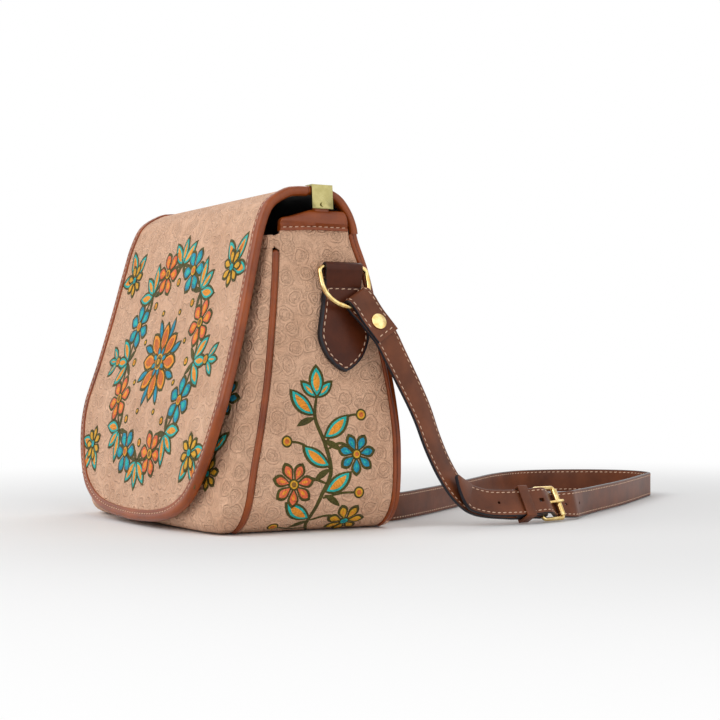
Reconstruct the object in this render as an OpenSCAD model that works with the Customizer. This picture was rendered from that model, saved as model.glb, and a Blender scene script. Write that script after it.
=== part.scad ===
// Saddle handbag with a fold-over flap, tapered body, two D-rings and a buckled shoulder strap.
// X runs across the bag, the flap hangs towards -Y, the floor is z = 0 under the base's centre.

/* [Body] */
// Width across the side gussets at floor level, before the lower corners round in
body_w = 267; // [230:1:310]
// Width across the side gussets at their top edge
mouth_w = 234; // [205:1:262]
// Height of the side gussets' top edge
mouth_z = 216; // [195:1:240]
// Depth between the front seam and the back seam at the base
base_d = 120; // [104:1:136]
// Depth between the seams at the gussets' top edge
mouth_d = 60; // [52:1:66]
// Radius of the two lower corners, seen from the front
corner_r = 28; // [18:1:40]
// Thickness of the gussets and of the base
gusset_t = 2.4; // [1.8:0.1:3.2]
// Thickness of the front and back panels
panel_t = 3; // [2.2:0.1:3.8]
// Thickness of the stiff board in the base
board_t = 2; // [1.2:0.1:3]
// Thickness of the lining cloth
lining_t = 0.8; // [0.6:0.1:1.2]
// Diameter of the piping along the front seam
front_piping_d = 5.6; // [3.6:0.1:7]
// Diameter of the piping along the back seam
back_piping_d = 3.2; // [2.4:0.1:4.4]

/* [Flap] */
// Rise of the flap's fold over the gussets' top edge, to the top of the binding
crown_h = 27.5; // [24:0.5:38]
// How far the flap's lower edge stands in front of the base's centre
flap_reach = 92.3; // [84:0.1:104]
// Width of the flap where it is widest
flap_w = 259; // [236:1:290]
// Thickness of the flap, leather and lining together
flap_t = 4.2; // [3:0.1:5]
// Height of the flap's lower edge over the floor
flap_clear = 4.4; // [3.4:0.1:14]
// Gap between the closed flap and the front panel
flap_gap = 3.6; // [3.4:0.1:5]
// Thickness of the edge binding's leather
binding_t = 1.3; // [0.8:0.1:1.6]
// How far the edge binding reaches in from the edge
binding_w = 7; // [5:0.5:10]

/* [Side hardware] */
// Width of the brass clip over the bound edge at the fold
clip_w = 16.6; // [12:0.1:20]
// Height of the clip's side plate
clip_h = 17; // [15:0.1:19]
// Thickness of the clip's brass sheet
clip_t = 1.2; // [0.8:0.1:1.6]
// Width of the leather loop that holds the D-ring
tab_loop_w = 29.4; // [24:0.1:29.6]
// Full width of the tab's shield
tab_w = 40; // [34:1:46]
// Length of the tab from the ring's bar to its point
tab_len = 74; // [60:1:90]
// Thickness of one ply of the tab
tab_t = 2.2; // [1.8:0.1:2.6]
// Outside width of the D-ring
ring_w = 41.2; // [40.9:0.1:46]
// Diameter of the D-ring's wire
ring_wire = 3.4; // [2.8:0.1:3.7]
// Straight length of the D-ring's sides, from its bar to its bow
ring_side = 11; // [9:0.5:15]

/* [Strap] */
// Width of the strap
strap_w = 21; // [18:0.5:23]
// Thickness of the strap
strap_t = 2.7; // [2.2:0.1:3]
// Angle of the strap's pull at the D-rings, below the horizontal
pull_angle = 58; // [52:1:66]
// How far behind the base's centre the strap's loop lies
strap_reach = 440; // [380:1:500]
// How far behind the base's centre the buckle lies
buckle_y = 181; // [165:1:200]
// Inside length of the buckle frame
buckle_len = 20; // [18:0.5:24]
// Diameter of the buckle's wire
buckle_wire = 3; // [2.4:0.1:3.4]

/* [Hidden] */

$fn = 48;

TAN = "#D0A88A";
BROWN = "#8A4A2A";
STRAP_BROWN = "#6B3A28";
BLACK = "#151518";
BRASS = "#D8C078";

// Gap between soft pieces that are sewn face to face, and the overrun of cuts
seat = 0.1;
over = 4;
// Play round a wire that turns in its bore, and round a screw in its hole
turn_play = 0.08;
hole_play = 0.03;
// Gap between plies of the strap, and round the buckle's bar inside its fold
ply_gap = 0.3;
bar_gap = 0.25;

// Curves: a smooth line through the points, with n steps in each stretch
function mix(a, b, t) = a + (b - a) * t;
function unit(v) = v / norm(v);
function curve_at(a, b, c, d, t) =
    (2 * b + (c - a) * t + (2 * a - 5 * b + 4 * c - d) * t * t
        + (3 * b - a - 3 * c + d) * t * t * t) / 2;
function smooth(p, n) = [for (i = [0 : len(p) - 2]) for (k = [0 : n - 1])
        curve_at(p[max(i - 1, 0)], p[i], p[i + 1], p[min(i + 2, len(p) - 1)], k / n),
    p[len(p) - 1]];
function reversed(p) = [for (i = [len(p) - 1 : -1 : 0]) p[i]];
function heading(p, i) = unit(p[min(i + 1, len(p) - 1)] - p[max(i - 1, 0)]);
// A line moved to its right by d, seen along its run
function shifted(p, d) = [for (i = [0 : len(p) - 1])
    let (h = heading(p, i)) p[i] + d * [h[1], -h[0]]];
function mirrored(p) = [for (q = p) [-q[0], q[1]]];

// Side view: seams and skins as lines of [y, z], from the floor up
seam_z_shares = [0, 0.1, 0.2, 0.33, 0.5, 0.7, 0.85, 1];
front_seam_shares = [1, 0.94, 0.81, 0.6, 0.37, 0.185, 0.075, 0];
back_skin_shares = [1.03, 1.06, 1.12, 1.13, 0.98, 0.67, 0.43];
curve_steps = 4;
front_seam = smooth([for (i = [0 : len(seam_z_shares) - 1])
    [-mix(mouth_d, base_d, front_seam_shares[i]) / 2, mouth_z * seam_z_shares[i]]], curve_steps);

top_z = mouth_z + crown_h;
skin_top = top_z - binding_t;
skin_rise = skin_top - mouth_z;
fold_y = -0.15 * mouth_d / 2;
fold_gap = 0.3;
arch_back_shares = [[1.17, -0.38], [1.1, 0.04], [0.97, 0.42], [0.74, 0.77], [0.43, 0.96], [0.15, 1]];
back_skin = concat(smooth(concat(
    [for (i = [0 : len(back_skin_shares) - 1])
        [mix(mouth_d, base_d, back_skin_shares[i]) / 2, mouth_z * seam_z_shares[i]]],
    [for (s = arch_back_shares) [s[0] * mouth_d / 2, mouth_z + s[1] * skin_rise]],
    [[fold_y + fold_gap, skin_top]]), curve_steps), [[fold_y + fold_gap / 2, skin_top]]);

flap_fall_shares = [[1, 0], [0.9, 0.185], [0.738, 0.37], [0.455, 0.556], [0.202, 0.741], [0, 0.903]];
flap_arch_shares = [[1.45, -0.03], [1.19, 0.56], [0.72, 0.91], [0.4, 0.99]];
flap_bend_y = 1.64 * mouth_d / 2;
flap_skin = concat(smooth(concat(
    [for (s = flap_fall_shares)
        [-mix(flap_bend_y, flap_reach, s[0]), max(mouth_z * s[1], flap_clear)]],
    [for (s = flap_arch_shares) [-s[0] * mouth_d / 2, mouth_z + s[1] * skin_rise]],
    [[fold_y - fold_gap, skin_top]]), curve_steps), [[fold_y - fold_gap / 2, skin_top]]);

function swap(p) = [for (q = p) [q[1], q[0]]];
function front_seam_y(z) = lookup(z, swap(front_seam));
function back_skin_y(z) = lookup(z, swap([for (q = back_skin) if (q[1] < mouth_z + skin_rise / 2) q]));
// The back skin moved in by d, as y over z
function back_y(z, d) = lookup(z, swap([for (q = reversed(shifted(reversed(back_skin), d)))
    if (q[1] < mouth_z + skin_rise / 3) q]));
function flap_inner_y(z) = lookup(z, swap(shifted(flap_skin, flap_t)));

// Front view: the body's outline as a line of [x, z], from the top of a side down to the base
lean = atan((body_w - mouth_w) / 2 / mouth_z);
corner_x = body_w / 2 - corner_r * (1 + sin(lean)) / cos(lean);
arc_steps = 7;
function side_x(z) = body_w / 2 - z * tan(lean);
function body_half(z) = z < corner_r
    ? min(side_x(z), corner_x + sqrt(pow(corner_r, 2) - pow(corner_r - z, 2)))
    : side_x(z);
function corner_arc(r) = [for (i = [0 : arc_steps])
    let (a = mix(lean, -90, i / arc_steps)) [corner_x + r * cos(a), corner_r + r * sin(a)]];
function body_line(z_top, inset) = concat(
    [[side_x(z_top) - inset / cos(lean), z_top]], corner_arc(corner_r - inset));
function body_outline(z_top, inset) =
    concat(body_line(z_top, inset), reversed(mirrored(body_line(z_top, inset))));

flap_edge_shares = [[0, 0], [0.3, 0.007], [0.54, 0.03], [0.72, 0.075], [0.82, 0.128], [0.91, 0.21],
    [0.975, 0.31], [1, 0.4]];
flap_line = concat(
    smooth([for (s = flap_edge_shares) [s[0] * flap_w / 2, flap_clear + s[1] * mouth_z]], curve_steps),
    [[side_x(top_z + over), top_z + over]]);
function flap_outline(grow) = let (p = shifted(flap_line, grow))
    concat([for (q = p) [max(q[0], 0), q[1]]], reversed(mirrored(p)));

// The U-shaped strip along the flap's edge, from one fold end round to the other
function flap_path(grow) = let (p = shifted(flap_line, grow))
    concat(reversed(mirrored(p)), [for (i = [1 : len(p) - 1]) p[i]]);

// Solids from side views and front views
module along_x(w) { rotate([90, 0, 90]) linear_extrude(w, center = true) children(); }
module along_y(d) { rotate([90, 0, 0]) linear_extrude(d, center = true) children(); }
module band(line, from, to) { polygon(concat(shifted(line, from), reversed(shifted(line, to)))); }
far_d = 3 * base_d;
far_w = 2 * body_w;

// A closed solid through rings of points, each ring turning left about the way the rings run
module swept(rings) {
    n = len(rings[0]);
    m = len(rings);
    polyhedron([for (r = rings) for (q = r) q], concat(
        [[for (j = [0 : n - 1]) j]],
        [[for (j = [n - 1 : -1 : 0]) (m - 1) * n + j]],
        [for (i = [0 : m - 2]) for (j = [0 : n - 1])
            let (k = (j + 1) % n) [i * n + j, (i + 1) * n + j, (i + 1) * n + k, i * n + k]]));
}

// A closed sheet between two grids of points: rows go up, columns go to +X, outer is at -Y
module sheet(outer, inner) {
    m = len(outer);
    n = len(outer[0]);
    s = m * n;
    function o(v, u) = v * n + u;
    function q(v, u) = s + v * n + u;
    polyhedron(concat([for (r = outer) for (p = r) p], [for (r = inner) for (p = r) p]), concat(
        [for (v = [0 : m - 2]) for (u = [0 : n - 2]) [o(v, u), o(v + 1, u), o(v + 1, u + 1), o(v, u + 1)]],
        [for (v = [0 : m - 2]) for (u = [0 : n - 2]) [q(v, u), q(v, u + 1), q(v + 1, u + 1), q(v + 1, u)]],
        [for (u = [0 : n - 2]) [o(0, u), o(0, u + 1), q(0, u + 1), q(0, u)]],
        [for (u = [0 : n - 2]) [o(m - 1, u + 1), o(m - 1, u), q(m - 1, u), q(m - 1, u + 1)]],
        [for (v = [0 : m - 2]) [o(v + 1, 0), o(v, 0), q(v, 0), q(v + 1, 0)]],
        [for (v = [0 : m - 2]) [o(v, n - 1), o(v + 1, n - 1), q(v + 1, n - 1), q(v, n - 1)]]));
}

// A round cord along 3-D points, with rounded ends
cord_sides = 8;
module round_cord(p, r) {
    n = len(p);
    first = heading(p, 0) * r;
    last = heading(p, n - 1) * r;
    spans = concat([[p[0] - first * 0.9, r * 0.35], [p[0] - first * 0.55, r * 0.8]],
        [for (q = p) [q, r]],
        [[p[n - 1] + last * 0.55, r * 0.8], [p[n - 1] + last * 0.9, r * 0.35]]);
    c = [for (s = spans) s[0]];
    swept([for (i = [0 : len(spans) - 1])
        let (t = heading(c, i), a = unit([0, 1, 0] - t[1] * t), b = cross(t, a))
        [for (j = [0 : cord_sides - 1]) let (g = 360 * (j + 0.5) / cord_sides)
            c[i] + spans[i][1] * (cos(g) * a + sin(g) * b)]]);
}

// Wrap: flap, fold and back panel
module flap_solid(from, to, grow) {
    intersection() {
        along_x(far_w) band(flap_skin, from, to);
        along_y(far_d) polygon(flap_outline(grow));
    }
}
module flap_panel() {
    color(TAN) flap_solid(0, flap_t, 0);
}
module flap_binding() {
    color(BROWN) difference() {
        intersection() {
            along_x(far_w) band(flap_skin, -binding_t, flap_t + binding_t);
            along_y(far_d) polygon(concat(flap_path(binding_t), reversed(flap_path(-binding_w))));
        }
        flap_solid(-seat, flap_t + seat, seat);
    }
}

module back_solid(from, to, grow) {
    intersection() {
        along_x(far_w) band(back_skin_run, from, to);
        along_y(far_d) polygon(body_outline(top_z + over, -grow));
    }
}
// The back skin runs from the fold down to the floor, so that its inner side is to its right
back_skin_run = reversed(back_skin);
module back_panel() {
    color(TAN) back_solid(0, panel_t, 0);
}
// Length of the gusset binding's sewn hem
hem_h = 5;
arch_binding_z = mouth_z - hem_h + 2 * seat;
module right_arch_binding() {
    color(BROWN) difference() {
        intersection() {
            along_x(far_w) band(back_skin_run, -binding_t, panel_t + binding_t);
            along_y(far_d) polygon([
                [side_x(arch_binding_z) + binding_t, arch_binding_z],
                [side_x(top_z + over) + binding_t, top_z + over],
                [side_x(top_z + over) - binding_w, top_z + over],
                [side_x(arch_binding_z) - binding_w, arch_binding_z]]);
        }
        back_solid(-seat, panel_t + seat, seat);
        gusset_room();
    }
}
// Room for a gusset's top and its binding inside the arch
module gusset_room() {
    depth = mouth_d / 2 + gusset_back_y(mouth_z) + seat;
    on_gusset() translate([-roll_r * 2, -mouth_d / 2, 0]) cube([roll_r * 3, depth, mouth_z + roll_r]);
}
module left_arch_binding() { mirror([1, 0, 0]) right_arch_binding(); }

// Front panel: a swollen shell from the front seam to the flap's inner face
front_r = front_piping_d / 2;
back_r = back_piping_d / 2;
lip_z = 0.955 * mouth_z;
swell_power = 4.5;
foot_r = 13;
columns = 24;
row_shares = [0, 0.004, 0.014, 0.03, 0.055, 0.09, 0.14, 0.2, 0.28, 0.38, 0.48, 0.58, 0.68, 0.78, 0.89, 1];
function front_edge_y(z) = front_seam_y(z) - front_r - seat;
function swell(z, drop) = max(front_edge_y(z) - flap_inner_y(max(z, flap_clear)) - flap_gap - drop, seat)
    * (z >= foot_r ? 1 : pow(1 - pow(1 - z / foot_r, 3), 1 / 3));
function across(u) = let (a = 90 * u) [sign(a) * pow(abs(sin(a)), 2 / swell_power),
    pow(abs(cos(a)), 2 / swell_power)];
function front_grid(depth) = [for (s = row_shares)
    let (z = mix(depth, lip_z, s), h = body_half(max(z - depth, 0)) - depth, y = front_edge_y(z),
        b = swell(z - depth, depth))
    [for (i = [0 : columns]) let (q = across(2 * i / columns - 1)) [h * q[0], y - b * q[1], z]]];
module front_panel() {
    color(TAN) sheet(front_grid(0), front_grid(panel_t));
}
module front_lining() {
    color(BLACK) sheet(front_grid(panel_t + seat), front_grid(panel_t + seat + lining_t));
}

// Binding over the front panel's top edge
mouth_binding_h = 8;
module mouth_binding() {
    rows = [for (k = [2, 1, 0]) lip_z + seat - k * mouth_binding_h / 2];
    outside = [-seat - binding_t, -seat];
    inside = [panel_t + lining_t + 2 * seat, panel_t + lining_t + 2 * seat + binding_t];
    color(BROWN) {
        sheet(lip_grid(rows, outside[0]), lip_grid(rows, outside[1]));
        sheet(lip_grid(rows, inside[0]), lip_grid(rows, inside[1]));
        top = [lip_z + seat, lip_z + seat + binding_t];
        sheet(lip_grid(top, outside[0]), lip_grid(top, inside[1]));
    }
}
function lip_grid(rows, depth) = [for (z = rows)
    let (low = min(z, lip_z) - max(depth, 0), h = body_half(low) - depth, y = front_edge_y(min(z, lip_z)),
        b = swell(low, depth))
    [for (i = [0 : columns]) let (q = across(2 * i / columns - 1)) [h * q[0], y - b * q[1], z]]];

// Gussets and base
function gusset_front_y(z) = front_seam_y(z) + front_r + seat;
function gusset_back_y(z) = back_y(z, panel_t + 2 * back_r + 5 * seat);
profile_z = [for (s = [0 : 0.04 : 1]) s * mouth_z];
module body_side(z_top) {
    zs = [for (z = profile_z) if (z < z_top) z];
    polygon(concat([for (z = zs) [gusset_front_y(z), z]], [[gusset_front_y(z_top), z_top]],
        [[gusset_back_y(z_top), z_top]], reversed([for (z = zs) [gusset_back_y(z), z]])));
}
module right_gusset() {
    color(TAN) intersection() {
        along_x(far_w) body_side(mouth_z - 3 * seat);
        along_y(far_d) polygon(concat(body_line(mouth_z, 0), reversed(body_line(mouth_z, gusset_t))));
    }
}
module left_gusset() { mirror([1, 0, 0]) right_gusset(); }
base_x = corner_x - seat;
module base_plate(t, x, y_in) {
    translate([-x, gusset_front_y(0) + y_in, 0])
        cube([2 * x, gusset_back_y(0) - gusset_front_y(0) - 2 * y_in, t]);
}
module base_panel() {
    color(TAN) base_plate(gusset_t, base_x, 0);
}
module base_board() {
    color(BLACK) translate([0, 0, gusset_t + seat]) base_plate(board_t, base_x, gusset_t);
}

// A place on the right gusset's outer face: x out of it, y as in the bag, z up along it
module on_gusset() { translate([body_w / 2, 0, 0]) rotate([0, -lean, 0]) children(); }
function gusset_to_bag(p) = [body_w / 2 + p[0] * cos(lean) - p[2] * sin(lean), p[1],
    p[0] * sin(lean) + p[2] * cos(lean)];
gusset_top = mouth_z / cos(lean);

// Rolled binding along a gusset's top edge, with a lug behind the clip
roll_r = 4.6;
lug_w = 0.7 * clip_w;
clip_from_fold = 1.8;
clip_centre = fold_y + fold_gap / 2 + clip_from_fold + clip_w / 2;
clip_low = top_z + clip_t - clip_h;
screw_rise = 3;
screw_z = clip_low + screw_rise;
lug_rise = 6.5;
lug_top = clip_low + lug_rise;
screw_r = 0.9;
screw_len = 4.6;
module right_gusset_binding() {
    mid = -gusset_t / 2;
    wall = gusset_t / 2 + seat + binding_t;
    color(BROWN) difference() {
        intersection() {
            union() {
                on_gusset() along_y(far_d) difference() {
                    union() {
                        translate([mid, gusset_top + roll_r]) circle(roll_r);
                        translate([mid - wall, gusset_top - hem_h]) square([2 * wall, hem_h + roll_r]);
                    }
                    translate([-gusset_t - seat, gusset_top - hem_h - over])
                        square([gusset_t + 2 * seat, hem_h + over + seat]);
                }
                on_gusset() translate([mid - wall, clip_centre - lug_w / 2, gusset_top])
                    cube([2 * wall, lug_w, lug_top - mouth_z]);
            }
            along_x(far_w) arch_room(panel_t + binding_t + seat);
        }
        translate([side_x(screw_z), clip_centre, screw_z]) rotate([0, 90, 0])
            cylinder(r = screw_r + hole_play, h = 2 * screw_len, center = true);
    }
}
module left_gusset_binding() { mirror([1, 0, 0]) right_gusset_binding(); }
// Side view of the space under the fold
module arch_room(back_in) {
    z0 = mouth_z - hem_h - over;
    y_front = gusset_front_y(mouth_z);
    y_back = gusset_back_y(mouth_z);
    polygon(concat([[y_front, z0], [y_front, mouth_z + roll_r]],
        [for (q = shifted(back_skin_run, back_in)) if (q[0] < y_back && q[1] > mouth_z + roll_r) q],
        [[y_back, z0]]));
}

// Lining: sides, back and floor of the pouch
module pouch_shape(inset) {
    intersection() {
        along_x(far_w) lining_side(inset);
        along_y(far_d) polygon(body_outline(mouth_z + over, gusset_t + seat + inset));
    }
}
lining_drop = 1;
module lining_side(inset) {
    z0 = gusset_t + board_t + 2 * seat + inset;
    z1 = mouth_z - hem_h - lining_drop;
    zs = [for (z = profile_z) if (z > z0 && z < z1) z];
    wall = panel_t + 3 * seat + inset;
    polygon(concat([[gusset_front_y(z0) - inset, z0]], [for (z = zs) [gusset_front_y(z) - inset, z]],
        [[gusset_front_y(z1) - inset, z1 + inset]],
        [[back_y(z1, wall), z1 + inset]], reversed([for (z = zs) [back_y(z, wall), z]]),
        [[back_y(z0, wall), z0]]));
}
module lining() {
    color(BLACK) difference() {
        pouch_shape(0);
        intersection() {
            along_x(far_w) lining_side(lining_t);
            along_y(far_d) polygon(body_outline(mouth_z + over, gusset_t + seat + lining_t));
        }
    }
}

// Slip pocket sewn to the lining's back wall
pocket_half_share = 0.26;
pocket_low_share = 0.36;
pocket_high_share = 0.78;
module slip_pocket() {
    x = pocket_half_share * body_w;
    z0 = pocket_low_share * mouth_z;
    z1 = pocket_high_share * mouth_z;
    hem = 4 * lining_t;
    wall = panel_t + lining_t + 5 * seat;
    color(BLACK) difference() {
        intersection() {
            along_x(2 * x) band(back_skin_run, wall, wall + 3 * lining_t);
            along_y(far_d) translate([-x, z0]) square([2 * x, z1 - z0]);
        }
        intersection() {
            along_x(2 * (x - hem)) band(back_skin_run, wall - seat, wall + 2 * lining_t);
            along_y(far_d) translate([hem - x, z0 + hem]) square([2 * (x - hem), z1 - z0]);
        }
    }
}

// Piping cords that stand a little proud of the seams
piping_proud = 1.2;
piping_top_share = 0.9;
function piping_side(r, z_top) = let (inset = r - piping_proud, z_low = corner_r + over)
    concat([for (k = [0 : 14]) let (z = mix(z_top, z_low, k / 14)) [side_x(z) - inset / cos(lean), z]],
        [for (q = corner_arc(corner_r - inset)) [q[0], max(q[1], r)]],
        [[corner_x * 0.7, r], [corner_x * 0.35, r]]);
function piping_run(r, z_top) = let (side = piping_side(r, z_top))
    concat(side, [[0, r]], reversed(mirrored(side)));
module front_piping() {
    color(BROWN) round_cord([for (q = piping_run(front_r, piping_top_share * mouth_z))
        [q[0], front_seam_y(q[1]), q[1]]], front_r);
}
module back_piping() {
    color(BROWN) round_cord([for (q = piping_run(back_r, arch_binding_z - back_r - seat))
        [q[0], back_y(q[1], panel_t + back_r + 3 * seat), q[1]]], back_r);
}

// Magnetic snap: the socket sits on the front panel, the stud under the flap
snap_z = 62;
snap_r = 8;
snap_post_r = 2.6;
snap_plate_t = 0.9;
snap_post_play = 0.6;
snap_back_in = 1;
snap_t = flap_gap - 2 * seat - snap_plate_t;
snap_y = flap_inner_y(snap_z);
snap_lean = atan((flap_inner_y(snap_z + snap_r) - flap_inner_y(snap_z - snap_r)) / (2 * snap_r));
// Out of the flap's inner face towards the bag is +z here
module at_snap(gap) {
    translate([0, snap_y, snap_z]) rotate([-90 - snap_lean, 0, 0]) translate([0, 0, gap]) children();
}
module snap_stud() {
    color(BRASS) at_snap(seat) {
        cylinder(r = snap_r, h = snap_plate_t);
        cylinder(r = snap_post_r, h = snap_plate_t + snap_t * 0.7);
    }
}
module snap_socket() {
    color(BRASS) at_snap(2 * seat + snap_plate_t) difference() {
        cylinder(r = snap_r, h = snap_t - seat);
        translate([0, 0, -over]) cylinder(r = snap_post_r + snap_post_play, h = snap_t + 2 * over);
    }
}
module snap_back_plate() {
    color(BRASS) at_snap(flap_gap + panel_t + lining_t + 5 * seat)
        cylinder(r = snap_r - snap_back_in, h = lining_t);
}

// Brass clip over the fold's bound edge, and its screw into the lug
clip_in = 9;
function clip_face_x(z) = side_x(z) + (binding_t + 2 * seat) / cos(lean);
module right_edge_clip() {
    top = top_z + seat;
    color(BRASS) difference() {
        translate([0, clip_centre, 0]) along_y(clip_w) polygon([
            [clip_face_x(clip_low) + clip_t, clip_low], [clip_face_x(top) + clip_t, top + clip_t],
            [clip_face_x(top) - clip_in, top + clip_t], [clip_face_x(top) - clip_in, top],
            [clip_face_x(top), top], [clip_face_x(clip_low), clip_low]]);
        translate([side_x(screw_z), clip_centre, screw_z]) rotate([0, 90, 0])
            cylinder(r = screw_r + hole_play, h = 2 * screw_len, center = true);
    }
}
module left_edge_clip() { mirror([1, 0, 0]) right_edge_clip(); }
module clip_screws() {
    x = clip_face_x(screw_z) + clip_t + 3 * seat;
    color(BRASS) for (side = [0, 1]) mirror([side, 0, 0])
        translate([x, clip_centre, screw_z]) rotate([0, 90, 0]) {
            cylinder(r = 1.8 * screw_r, h = screw_r);
            translate([0, 0, -screw_len]) cylinder(r = screw_r, h = screw_len + screw_r / 2);
        }
}

// Side tab: a shield on the gusset whose top rolls round the D-ring's bar
tab_y = 19;
bar_z_share = 0.863;
bar_up = bar_z_share * mouth_z;
loop_r = ring_wire / 2 + turn_play + tab_t;
bar_out = loop_r + seat;
shield_t = 1.8 * tab_t;
shield_shares = [[0.735, 0.1], [0.77, 0.26], [0.88, 0.45], [0.99, 0.6], [0.97, 0.71], [0.7, 0.86],
    [0.3, 0.96], [0, 1]];
function shield_side() = smooth([for (s = shield_shares) [s[0] * tab_w / 2, -s[1] * tab_len]], 3);
module at_bar() { on_gusset() translate([bar_out, tab_y, bar_up]) children(); }
module right_side_tab() {
    neck = 0.16 * tab_len;
    side = shield_side();
    color(STRAP_BROWN) at_bar() difference() {
        union() {
            along_y(tab_loop_w) circle(loop_r);
            along_y(tab_loop_w) polygon([[-loop_r, 0], [seat - bar_out, -neck],
                [seat - bar_out + shield_t, -neck], [loop_r, 0]]);
            translate([seat - bar_out + shield_t / 2, 0, 0]) along_x(shield_t)
                polygon(concat(side, reversed(mirrored(side))));
        }
        along_y(far_d) circle(ring_wire / 2 + turn_play);
    }
}
module left_side_tab() { mirror([1, 0, 0]) right_side_tab(); }

// D-ring: the bar along Y, the bow hanging down and leaning on the shield
ring_tilt = 16;
bow_r = (ring_w - ring_wire) / 2;
elbow_r = 4;
module d_ring() {
    r = ring_wire / 2;
    rotate([90, 0, 0]) cylinder(r = r, h = 2 * (bow_r - elbow_r), center = true);
    for (side = [0, 1]) mirror([0, side, 0]) {
        translate([0, bow_r - elbow_r, -elbow_r]) rotate([90, 0, 90])
            rotate_extrude(angle = 90) translate([elbow_r, 0]) circle(r);
        translate([0, bow_r, -ring_side]) cylinder(r = r, h = ring_side - elbow_r);
    }
    translate([0, 0, -ring_side]) rotate([90, 180, 90])
        rotate_extrude(angle = 180) translate([bow_r, 0]) circle(r);
}
module right_d_ring() {
    color(BRASS) at_bar() rotate([0, -ring_tilt, 0]) d_ring();
}
module left_d_ring() { mirror([1, 0, 0]) right_d_ring(); }

// From the right D-ring's own frame to the bag's
function ring_to_bag(p) = gusset_to_bag([bar_out + p[0] * cos(ring_tilt) - p[2] * sin(ring_tilt),
    tab_y + p[1], bar_up + p[0] * sin(ring_tilt) + p[2] * cos(ring_tilt)]);
pull = [0, cos(pull_angle), -sin(pull_angle)];
pull_side = [0, sin(pull_angle), cos(pull_angle)];
bow_point = [0, bow_r * cos(pull_angle), -ring_side - bow_r * sin(pull_angle)];
function fold_point(s, h) = ring_to_bag(bow_point + s * pull + [h, 0, 0]);
fold_side = unit(ring_to_bag(pull_side) - ring_to_bag([0, 0, 0]));
fold_out = unit(ring_to_bag([1, 0, 0]) - ring_to_bag([0, 0, 0]));

// Strap runs are lists of [centre, way across the strap], with a share of its width where it narrows
ply = (strap_t + ply_gap) / 2;
bow_room = ring_wire / 2 + ply_gap;
bow_sag = bow_r - sqrt(pow(bow_r, 2) - pow(strap_w / 2, 2));
loop_c = bow_room + strap_t / 2;
fold_len = 1.43 * strap_w;
rivet_at = 0.85 * strap_w;
fold_shares = [[1, 1], [0.62, 1], [0.42, 1.02]];
grip_shares = [[0.22, 0.45], [0.07, 0.98]];
function ring_fold() = concat(
    [for (s = fold_shares) [fold_point(s[0] * fold_len, s[1] * ply), fold_side]],
    [for (s = grip_shares) [fold_point(s[0] * fold_len, mix(ply, loop_c, s[1])), fold_side]],
    [for (a = [90 : 30 : 270])
        [fold_point(loop_c * cos(a) - bow_sag - 3 * seat, loop_c * sin(a)), fold_side]],
    [for (s = reversed(grip_shares)) [fold_point(s[0] * fold_len, -mix(ply, loop_c, s[1])), fold_side]],
    [for (s = reversed(fold_shares)) [fold_point(s[0] * fold_len, -s[1] * ply), fold_side]]);
function other_side(run) = [for (s = run) [[-s[0][0], s[0][1], s[0][2]], [-s[1][0], s[1][1], s[1][2]]]];

module strap(run) {
    c = [for (s = run) s[0]];
    swept([for (i = [0 : len(run) - 1])
        let (t = heading(c, i), a = unit(run[i][1] - (run[i][1] * t) * t),
            w = a * strap_w / 2 * run_share(run[i]), n = cross(t, a) * strap_t / 2)
            [c[i] + w - n, c[i] + w + n, c[i] - w + n, c[i] - w - n]]);
}
function run_share(s) = len(s) > 2 ? s[2] : 1;
function rest(run) = [for (i = [1 : len(run) - 1]) run[i]];
// A smooth line through a run's places, kept off the floor
function smooth_run(run, n) =
    let (c = smooth([for (s = run) s[0]], n), w = smooth([for (s = run) s[1]], n))
    [for (i = [0 : len(c) - 1]) let (a = unit(w[i]))
        [[c[i][0], c[i][1], max(c[i][2], a[2] * strap_w / 2 + norm([a[0], a[1]]) * strap_t / 2)], a]];

// Buckle: its bar lies along the strap's width, leaning back by buckle_lean
buckle_lean = 30;
buckle_off = 2.5;
buckle_x = body_w / 2 + buckle_off;
wire_r = buckle_wire / 2;
roller_wall = 1;
roller_r = wire_r + roller_wall;
frame_play = 1.6;
frame_w = strap_w + 2 * wire_r + frame_play;
buckle_way = unit([-0.1, 1, 0]);
buckle_out0 = [buckle_way[1], -buckle_way[0], 0];
buckle_up = cos(buckle_lean) * [0, 0, 1] - sin(buckle_lean) * buckle_out0;
buckle_out = cos(buckle_lean) * buckle_out0 + sin(buckle_lean) * [0, 0, 1];
buckle_z = (frame_w / 2 + wire_r) * cos(buckle_lean) + wire_r * sin(buckle_lean);
buckle_c = [buckle_x, buckle_y, buckle_z];
function buckle_point(s, h) = buckle_c + s * buckle_way + h * buckle_out;
// Local frame at the buckle: x along the strap, y up its width, z out of its face
module at_buckle() {
    multmatrix([for (k = [0 : 2]) [buckle_way[k], buckle_up[k], -buckle_out[k], buckle_c[k]]])
        mirror([0, 0, 1]) children();
}
bar_room = wire_r + bar_gap;
bar_c = bar_room + strap_t / 2;
end_len = 1.3 * strap_w;

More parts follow.
